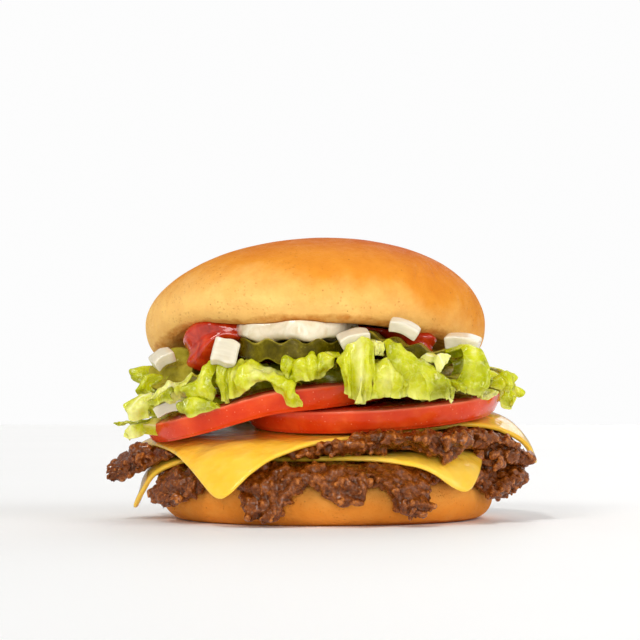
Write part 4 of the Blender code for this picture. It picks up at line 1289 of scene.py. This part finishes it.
# Each leaf that shows at the front: its Y in mm, how far it bulges out in mm, how pale it is,
# and its crest and its torn edge from left to right, as X and Z in mm
FRONT_LEAVES = [
    (-13, 1.5, 0.1, [(-62.5, 46), (-61, 48), (-56.5, 46.5), (-51, 48)],
     [(-60.5, 43), (-57, 44), (-54, 44), (-50, 44)]),
    (-28, 1.5, 0.1, [(-57.5, 42.5), (-55.5, 45), (-54, 43.5), (-52, 41)],
     [(-58, 39.5), (-55.5, 39), (-53.5, 39.5), (-50.5, 39)]),
    (-33, 2.0, 0.8, [(-60, 39), (-58.5, 39.5), (-55, 40), (-52.5, 39)],
     [(-62.5, 34), (-59.5, 33), (-57.5, 31.5), (-54.5, 32)]),
    (-26, 1.0, 0.2, [(-66.5, 31.2), (-64, 31.5), (-61, 32), (-55.5, 32.5)],
     [(-66, 30.3), (-64, 30), (-61, 29.5), (-58, 31)]),
    (-24, 1.0, 0.4, [(-59, 36), (-54, 37), (-49, 36.5)], [(-59, 33), (-54, 32.7), (-49, 33.5)]),
    (-34, 1.0, 0.0, [(37, 50), (41.5, 51), (46, 50)], [(38, 42.5), (42, 42), (46, 43)]),
    (-30, 1.0, 0.7, [(-62, 27.5), (-60.5, 29.5), (-58, 31), (-55.5, 32)],
     [(-61.5, 26), (-59.5, 26), (-57.5, 27), (-55.5, 28.5)]),
    (-40, 2.5, 0.7, [(-53.5, 38.5), (-50.5, 41.5), (-47.5, 43.5), (-44.5, 45), (-40.5, 45)],
     [(-53.5, 37), (-50.5, 37.5), (-47.5, 37.5), (-44.5, 38), (-42, 39)]),
    (-41, 1.5, 0.0, [(-52, 39), (-48.5, 41), (-47.5, 42), (-46.5, 40.5)],
     [(-54, 36.5), (-51, 36.5), (-48.5, 37.5), (-46.5, 38)]),
    (-46, 3.5, 0.3, [(-41.5, 42.5), (-38.5, 44.5), (-37, 46.5), (-35.5, 49), (-33, 47.5)],
     [(-41.5, 39), (-39.5, 37), (-37, 36.5), (-34.5, 37), (-33, 39.5)]),
    (-48, 1.5, 0.1, [(-43.5, 37.5), (-41.5, 38.5), (-39, 38), (-36, 37), (-33.5, 36.5)],
     [(-44, 35), (-42, 33), (-40, 32.5), (-37.5, 34), (-32, 35.5)]),
    (-48, 2.0, 0.2, [(-33, 48), (-30.5, 48), (-28.5, 48)], [(-32, 40.5), (-31.5, 37.5), (-29, 39)]),
    (-48, 2.0, 0.3, [(-28.5, 48), (-26.5, 49.5), (-24.5, 47)], [(-28.5, 39), (-28, 38), (-23.5, 41.5)]),
    (-51, 2.5, 0.5,
     [(-26.5, 48), (-24.5, 49), (-21.5, 47.5), (-18, 46.5), (-14.5, 45.5), (-11, 44), (-10, 42.5)],
     [(-26.5, 39), (-23.5, 41.5), (-21, 43), (-18.5, 42), (-15, 39), (-11, 36.5), (-8, 36)]),
    (-51, 1.5, 0.2, [(-13.5, 50), (-11, 50.5), (-8.5, 50.5)], [(-14, 45.5), (-11.5, 44), (-10.5, 43)]),
    (-51, 2.0, 0.3,
     [(-11.5, 46), (-10.5, 48.5), (-8.5, 50.5), (-6.5, 50.5), (-4.5, 51.5), (-3.5, 49.5), (-2.5, 48.5)],
     [(-11, 43), (-8.5, 43.5), (-6, 43.5), (-4, 44), (-2.5, 44), (-2, 45)]),
    (-51, 1.5, 0.2, [(-3, 50), (-2.5, 51.5), (-0.5, 52), (2, 52), (3.5, 52)],
     [(-2.5, 44), (-1, 45.5), (0, 47), (2, 49), (3.5, 51)]),
    (-55, 3.0, 0.5, [(3, 49), (5, 52.5), (7, 54), (10, 56), (12, 55.5), (13.5, 54)],
     [(5, 40.5), (6.5, 39), (8, 38.5), (9.5, 36.5), (11, 37.5), (13, 38.5)]),
    (-54, 2.5, 0.4, [(12, 49), (14, 49), (16.5, 50), (19.5, 49), (21.5, 47.5), (23, 45.5)],
     [(13, 38.5), (16, 38.5), (18.5, 38.5), (21.5, 39), (23.5, 39.5)]),
    (-53, 1.5, 0.9, [(12.5, 55), (14.5, 56), (16.5, 55.5)], [(13, 51.5), (15, 50.5), (16, 50.5)]),
    (-53, 3.0, 0.2, [(17, 54.5), (19, 55), (22, 53), (25.5, 50.5), (30, 49.5), (32, 47), (34.5, 44.5)],
     [(17.5, 42), (21, 40), (24.5, 39), (28, 38.5), (32, 38.5), (35, 37.5), (37, 37.5)]),
    (-54, 1.0, 1.0, [(31, 46), (32.5, 44.5), (35.5, 42.5), (37, 38.5)],
     [(31, 45), (32, 42.5), (34, 40), (36.5, 37)]),
    (-53, 1.0, 1.0, [(31, 49.5), (33, 51.5), (36, 51.5)], [(31.5, 45), (33, 46), (34.5, 49)]),
    (-44, 2.5, 0.3, [(40.5, 52.5), (42.5, 54), (44.5, 53.5), (46.5, 52)],
     [(37, 41), (40, 40.5), (43.5, 39.5), (47.5, 38)]),
    (-45, 1.5, 0.2, [(35, 45), (37.5, 44), (40, 44.5)], [(37, 42), (39.5, 40.5), (41.5, 40)]),
    (-22, 1.5, 0.3, [(49, 46), (52, 45), (55, 46), (58, 46)],
     [(50.5, 44), (53, 42), (55, 40.5), (56.5, 42)]),
    (-22, 1.5, 0.4, [(53, 42.5), (54.5, 43), (56.5, 42), (58, 42.5), (59.5, 41)],
     [(53, 38), (54.5, 35.5), (56.5, 35.5), (57, 38.5), (59, 38.5)]),
    (-40, 1.0, 1.0, [(47, 40.5), (49, 40.5), (51, 41)], [(47, 38), (48.5, 37.5), (50, 39)]),
]

# Each leaf round the sides and the back: direction and half width in degrees, sideways sweep of its tip
# in degrees, reach and height of its crest in mm, reach and height of its tip in mm, waves, depth, phase
ROUND_LEAVES = [
    (-160, 10, 0, 52, 46.5, 57, 40.5, 2.0, 2.0, 2.6),
    (-18, 10, 7, 53, 46.5, 56.5, 38.5, 1.5, 1.8, 2.7),
    (12, 12, 0, 54, 47.5, 58, 39.0, 2.0, 2.4, 1.0),
    (37, 13, 3, 52, 46.5, 57, 38.5, 2.5, 2.4, 5.0),
    (64, 13, -3, 50, 43.5, 55, 38.0, 2.5, 2.4, 2.0),
    (92, 13, 3, 50, 41.5, 54, 38.5, 2.0, 2.4, 0.1),
    (120, 13, 0, 52, 43.0, 56, 37.5, 2.5, 2.4, 3.3),
    (147, 13, -3, 55, 44.0, 60, 36.0, 2.0, 2.4, 1.6),
    (174, 13, 0, 54, 45.0, 58, 37.5, 2.0, 2.2, 4.4),
    (26, 8, 2, 49, 49.0, 53, 43.0, 2.0, 1.8, 0.7),
    (50, 8, 0, 47, 47.5, 52, 42.0, 2.5, 1.8, 2.2),
    (78, 8, 0, 46, 45.0, 51, 40.5, 2.0, 1.6, 3.9),
    (106, 8, 0, 46, 45.0, 51, 40.5, 2.5, 1.6, 5.5),
    (134, 8, 0, 49, 46.5, 54, 41.0, 2.0, 1.8, 1.1),
    (160, 8, 0, 51, 47.0, 56, 41.5, 2.5, 1.8, 2.9),
]
LEAF_ROOT_REACH = 30.0 * MM
LEAF_ROOT_LOWEST = 39.5 * MM
LEAF_ROOT_HIGHEST = 47.8 * MM
LEAF_NARROWING = 0.25


def curve_through(points, shares):
    """Points of a smooth curve through all the given ones, at shares from 0 to 1 of their count."""
    points = np.asarray(points, float)
    padded = np.concatenate([[2 * points[0] - points[1]], points, [2 * points[-1] - points[-2]]])
    at = np.clip(shares, 0, 1) * (len(points) - 1)
    first = np.minimum(at.astype(int), len(points) - 2)
    part = (at - first).reshape(-1, *[1] * (points.ndim - 1))
    before, start, end, after = (padded[first + i] for i in range(4))
    linear = end - before
    bend = 2 * before - 5 * start + 4 * end - after
    turn = 3 * (start - end) + after - before
    return start + 0.5 * part * (linear + part * (bend + part * turn))


def front_leaf(index):
    """The grid of points of one leaf at the front, from its hidden root over its crest to its edge."""
    depth, bulge, _, crest, edge = FRONT_LEAVES[index]
    across = np.linspace(0, 1, LEAF_COLUMNS)
    rails = []
    for rail, out in ((crest, 0.0), (edge, -0.6)):
        line = curve_through(rail, across) * MM
        level = np.full(LEAF_COLUMNS, (depth + out) * MM)
        rails.append(np.stack([line[:, 0], level, line[:, 1]], axis=-1))
    crest, edge = rails
    way = crest * np.array([1.0, 1.0, 0.0])
    way /= np.linalg.norm(way, axis=1, keepdims=True)
    root = crest - way * LEAF_ROOT_LENGTH + np.array([0, 0, -1.0 * MM - 0.4 * MM * (index % 3)])
    shoulder = crest - way * 3.5 * MM + np.array([0, 0, 0.35 * MM])
    middle = (crest + edge) / 2 + way * bulge * MM
    torn = 1.3 * MM * rough_noise(edge, 4.0 * MM, index, 2, 0.5)
    edge = edge + np.array([0, 0, 1.0]) * torn[:, None]
    grid = curve_through(np.stack([root, shoulder, crest, middle, edge]), np.linspace(0, 1, LEAF_ROWS))
    width = np.linalg.norm(np.diff(crest, axis=0), axis=1).sum()
    down = np.linspace(0, 1, LEAF_ROWS)[:, None] * np.ones((1, LEAF_COLUMNS))
    along = np.ones((LEAF_ROWS, 1)) * across[None, :] * max(1.6, width / PLEAT_WIDTH)
    folds = smooth_noise(np.stack([along, 0.9 * down, 0 * down + 5.3 * index], axis=-1), 1.0, 70)
    pleat = 1 - 2.4 * np.abs(folds)
    fine = smooth_noise(np.stack([3.2 * along, 1.4 * down, 0 * down + 5.3 * index], axis=-1), 1.0, 80)
    ruffle = PLEAT_DEPTH * pleat * (0.4 + 0.6 * down) + FRILL_DEPTH * 2 * fine * down**2
    return grid + way[None] * ruffle[..., None]


def round_leaf(index):
    """The grid of points of one leaf round the side or back."""
    direction, half_width, sweep, crest_reach, crest, reach, tip, waves, depth, phase = ROUND_LEAVES[index]
    across = np.linspace(-1, 1, LEAF_COLUMNS)[None, :]
    down = np.linspace(0, 1, LEAF_ROWS)[:, None]
    length = down * (1 + 0.07 * np.sin(5 * across + phase) * down)
    root = min(LEAF_ROOT_HIGHEST, max(LEAF_ROOT_LOWEST, crest * MM)) - 0.5 * MM * (index % 3)
    ends = [(LEAF_ROOT_REACH, root), (crest_reach * MM, crest * MM), (reach * MM, tip * MM)]
    parts = [(1 - length) * (1 - 2 * length), 4 * length * (1 - length), length * (2 * length - 1)]
    radius = sum(part * end[0] for part, end in zip(parts, ends))
    height = sum(part * end[1] for part, end in zip(parts, ends))
    ruffle = depth * MM * np.sin(np.pi * waves * across + phase) * down**1.5
    fine = 0.6 * MM * np.sin(3.1 * np.pi * waves * across + 2 * phase) * down**2
    steep = np.clip((length - 0.35) / 0.5, 0, 1)
    radius = radius + (ruffle + fine) * steep
    height = height + ruffle * (1 - steep)
    narrow = 1 - LEAF_NARROWING * np.maximum(0.0, down - 0.55) / 0.45
    angle = np.radians(direction + half_width * across * narrow + sweep * down**2)
    grid = turned(radius, angle, height)
    grid[..., 2] += 0.8 * MM * rough_noise(grid, 3 * MM, index, 2) * down**4
    return grid


def make_leaves(name, grids, pales, looks):
    """Joins leaves into one piece: crinkled sheets with their own thickness and a pale rib each."""
    rows, columns = LEAF_ROWS, LEAF_COLUMNS
    row, column = np.meshgrid(np.arange(rows - 1), np.arange(columns - 1), indexing="ij")
    first = row * columns + column
    quads = np.stack([first, first + 1, first + columns + 1, first + columns], axis=-1).reshape(-1, 4)
    points = np.concatenate([grid.reshape(-1, 3) for grid in grids])
    faces = np.concatenate([quads + i * rows * columns for i in range(len(grids))])
    piece = mesh_piece(name, points, faces, looks["lettuce"])
    across = np.linspace(-1, 1, columns)[None, :]
    down = np.linspace(0, 1, rows)[:, None]
    pale, rib, rim = [], [], []
    for index, tone in enumerate(pales):
        wander = 0.25 * math.sin(3.7 * index)
        spine = smooth_step(0.14, 0.03, np.abs(across - wander - 0.12 * np.sin(4 * down + index)))
        pale.append(tone + 0.35 * smooth_step(0.7, 0.0, np.abs(across - wander)) + 0 * down)
        rib.append(spine * smooth_step(1.0, 0.45, down) * smooth_step(0.3, 1.0, tone))
        # The torn edge, for its painted highlight
        rim.append(smooth_step(0.9, 1.0, down) + 0 * across)
    for label, values in (("pale", pale), ("rib", rib), ("rim", rim)):
        give_values(piece, label, np.array(values).reshape(-1))
    here, out = points_of(piece), points_of(piece, "normal")
    crinkle = CRINKLE_DEPTHS[0] * (2 * np.abs(smooth_noise(here, 6 * MM, 31)) - 0.5)
    crinkle += CRINKLE_DEPTHS[1] * (2 * np.abs(smooth_noise(here, 3.2 * MM, 34)) - 0.5)
    crinkle += CRINKLE_DEPTHS[2] * rough_noise(here, 1.2 * MM, 37, 2)
    set_points(piece, here + out * crinkle[:, None])
    thick = piece.modifiers.new("leaf thickness", "SOLIDIFY")
    thick.thickness = LEAF_THICKNESS
    thick.offset = 0
    apply_modifiers(piece)
    piece.data.set_sharp_from_angle(angle=LEAF_SHARP_ANGLE)
    return stand_for(piece, ["lettuce"])


def make_lettuce_core(looks):
    """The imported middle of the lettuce, so that nothing shows through between the leaves."""
    angle = full_turn(160)[None, :]
    share = np.array([0.1, 0.5, 0.85, 0.95, 1.0, 1.0, 0.97, 0.9, 0.6, 0.1])[:, None]
    rise = np.array([0.0, 0.0, 0.02, 0.15, 0.4, 0.65, 0.88, 1.0, 1.0, 1.0])[:, None]
    profile = softened(np.concatenate([share, rise], axis=1), 2)
    height = LETTUCE_CORE_BOTTOM + (LETTUCE_CORE_TOP - LETTUCE_CORE_BOTTOM) * profile[:, 1:]
    rings = turned(profile[:, :1] * LETTUCE_CORE_RADIUS, angle, height)
    rings += (1.2 * MM * rough_noise(rings, 6 * MM, 41))[..., None] * np.array([1.0, 1.0, 0.3])
    piece = ring_piece("lettuce_core", rings, looks["lettuce"])
    for label in ("pale", "rib", "rim"):
        give_values(piece, label, np.zeros(len(piece.data.vertices)))
    return stand_for(piece, ["lettuce"])


# The burger

# Each crust: the heights where its colours start and end, its colours from low to high, and its lip's
CROWN_CRUST = (0.12, 1.0, (248, 198, 114), (227, 146, 48), (192, 88, 6), (196, 116, 36))
HEEL_CRUST = (-0.1, 1.1, (226, 140, 50), (224, 136, 48), (238, 176, 88), (176, 88, 22))

# Each sauce: its deep, middle and light colours, and its roughness
KETCHUP_LOOK = ((160, 30, 4), (196, 48, 12), (220, 84, 36), 0.1)
MAYO_LOOK = ((214, 196, 160), (230, 219, 194), (240, 233, 216), 0.16)


def make_looks():
    return {
        "crown": crust_look("crown crust", *CROWN_CRUST),
        "heel": crust_look("heel crust", *HEEL_CRUST),
        "beef": beef_look(),
        "cheese": cheese_look(),
        "tomato": tomato_look(),
        "lettuce": lettuce_look(),
        "pickle": pickle_look(),
        "onion": onion_look(),
        "ketchup": sauce_look("ketchup", *KETCHUP_LOOK),
        "mayonnaise": sauce_look("mayonnaise", *MAYO_LOOK),
    }


def make_burger():
    looks = make_looks()
    make_heel(looks)
    make_crown(looks)
    lower = Patty(
        LOWER_PATTY_BED, LOWER_PATTY_THICKNESS, LOWER_CHEESE_BED, LOWER_CHEESE_CORNERS,
        LOWER_PATTY_LOBES, LOWER_PATTY_SWELLS, 2, LOWER_PATTY_FILLERS,
    )
    upper = Patty(
        UPPER_PATTY_BED, UPPER_PATTY_THICKNESS, UPPER_CHEESE_BED, UPPER_CHEESE_CORNERS,
        UPPER_PATTY_LOBES, [], 7, UPPER_PATTY_FILLERS,
    )
    make_patty("beef_lower", "patty_lower", lower, looks["beef"])
    make_patty("beef_upper", "patty_upper", upper, looks["beef"])
    make_cheese("slice_lower", "cheese_lower", LOWER_CHEESE_BED, LOWER_CHEESE_CORNERS, 51, looks["cheese"])
    make_cheese("slice_upper", "cheese_upper", UPPER_CHEESE_BED, UPPER_CHEESE_CORNERS, 61, looks["cheese"])
    tomatoes = [
        ("tomato_right", RIGHT_TOMATO, cheese_top, cheese_top, right_tomato_ceiling),
        ("tomato_left", LEFT_TOMATO, left_tomato_bed, left_tomato_floor, left_tomato_ceiling),
    ]
    for row in tomatoes:
        make_tomato(*row, looks["tomato"])
    for row in PICKLES:
        make_pickle(*row, looks["pickle"])
    for row in ONIONS:
        make_onion(*row, looks["onion"])
    make_ketchup(looks)
    make_mayonnaise(looks)
    make_lettuce_core(looks)
    front = [front_leaf(i) for i in range(len(FRONT_LEAVES))]
    make_leaves("lettuce_front", front, [leaf[2] for leaf in FRONT_LEAVES], looks)
    around = [round_leaf(i) for i in range(len(ROUND_LEAVES))]
    make_leaves("lettuce_round", around, [0.2 + 0.25 * (i % 3) for i in range(len(around))], looks)


# Floor, light and camera

CAMERA_PLACE = Vector((-2.44, -650.0, 35.0)) * MM
CAMERA_AIM = Vector((-2.44, 0.0, 64.1)) * MM
CAMERA_LENS = 112.5
CAMERA_SENSOR = 36.0
FLOOR_HALF_SIZE = 4.0
FLOOR_COLOURS = [(0.3, (251, 251, 251)), (0.7, (248.8, 248.8, 248.8))]
WORLD_LIGHT = 0.4
WORLD_SEEN = 0.98
DAYLIGHT = (1.0, 0.985, 0.95)
WHITE = (1.0, 1.0, 1.0)

# Each light: name, the direction it comes from, brightness, spread in degrees and colour
LIGHTS = [
    ("key", (-0.45, -0.6, 0.6), 0.26, 16, DAYLIGHT),
    ("glint", (-0.28, -0.4, 0.87), 0.22, 3, DAYLIGHT),
    ("right", (0.8, -0.5, 0.4), 0.3, 45, WHITE),
    ("front", (0.05, -1.0, 0.06), 0.48, 30, WHITE),
    ("back", (0.3, 0.8, 0.6), 0.22, 45, WHITE),
]


def make_floor():
    look = Look("floor", Roughness=0.6)
    look.set("Base Color", look.ramp(look.noise(0.2), FLOOR_COLOURS))
    half = FLOOR_HALF_SIZE
    points = np.array([(-half, -half, 0), (half, -half, 0), (half, half, 0), (-half, half, 0)], float)
    floor = mesh_piece("floor", points, [(0, 1, 2, 3)], look.material)


def make_light(name, toward, brightness, spread, colour):
    """A light from one direction, its spread in degrees, as bright on a white card as the given share."""
    data = bpy.data.lights.new(name, "SUN")
    data.energy = brightness * math.pi
    data.angle = math.radians(spread)
    data.color = colour
    light = bpy.data.objects.new(name, data)
    light.location = toward
    light.rotation_euler = (-Vector(toward)).to_track_quat("-Z", "Y").to_euler()
    bpy.context.scene.collection.objects.link(light)


def make_world():
    """An even white surround: bright where the camera sees it, softer as a light."""
    world = bpy.data.worlds.new("studio")
    world.use_nodes = True
    tree = world.node_tree
    seen = tree.nodes.new("ShaderNodeLightPath").outputs["Is Camera Ray"]
    strength = tree.nodes.new("ShaderNodeMapRange")
    strength.inputs["To Min"].default_value = WORLD_LIGHT
    strength.inputs["To Max"].default_value = WORLD_SEEN
    background = tree.nodes["Background"]
    background.inputs["Color"].default_value = (1.0, 1.0, 1.0, 1.0)
    tree.links.new(seen, strength.inputs["Value"])
    tree.links.new(strength.outputs["Result"], background.inputs["Strength"])
    bpy.context.scene.world = world


def make_stage():
    make_floor()
    make_world()
    for row in LIGHTS:
        make_light(*row)


def make_camera():
    data = bpy.data.cameras.new("camera")
    data.lens = CAMERA_LENS
    data.sensor_width = CAMERA_SENSOR
    camera = bpy.data.objects.new("camera", data)
    camera.location = CAMERA_PLACE
    camera.rotation_euler = (CAMERA_AIM - CAMERA_PLACE).to_track_quat("-Z", "Y").to_euler()
    bpy.context.scene.collection.objects.link(camera)
    bpy.context.scene.camera = camera


make_burger()
make_stage()
make_camera()
bpy.context.scene.view_settings.view_transform = "Standard"
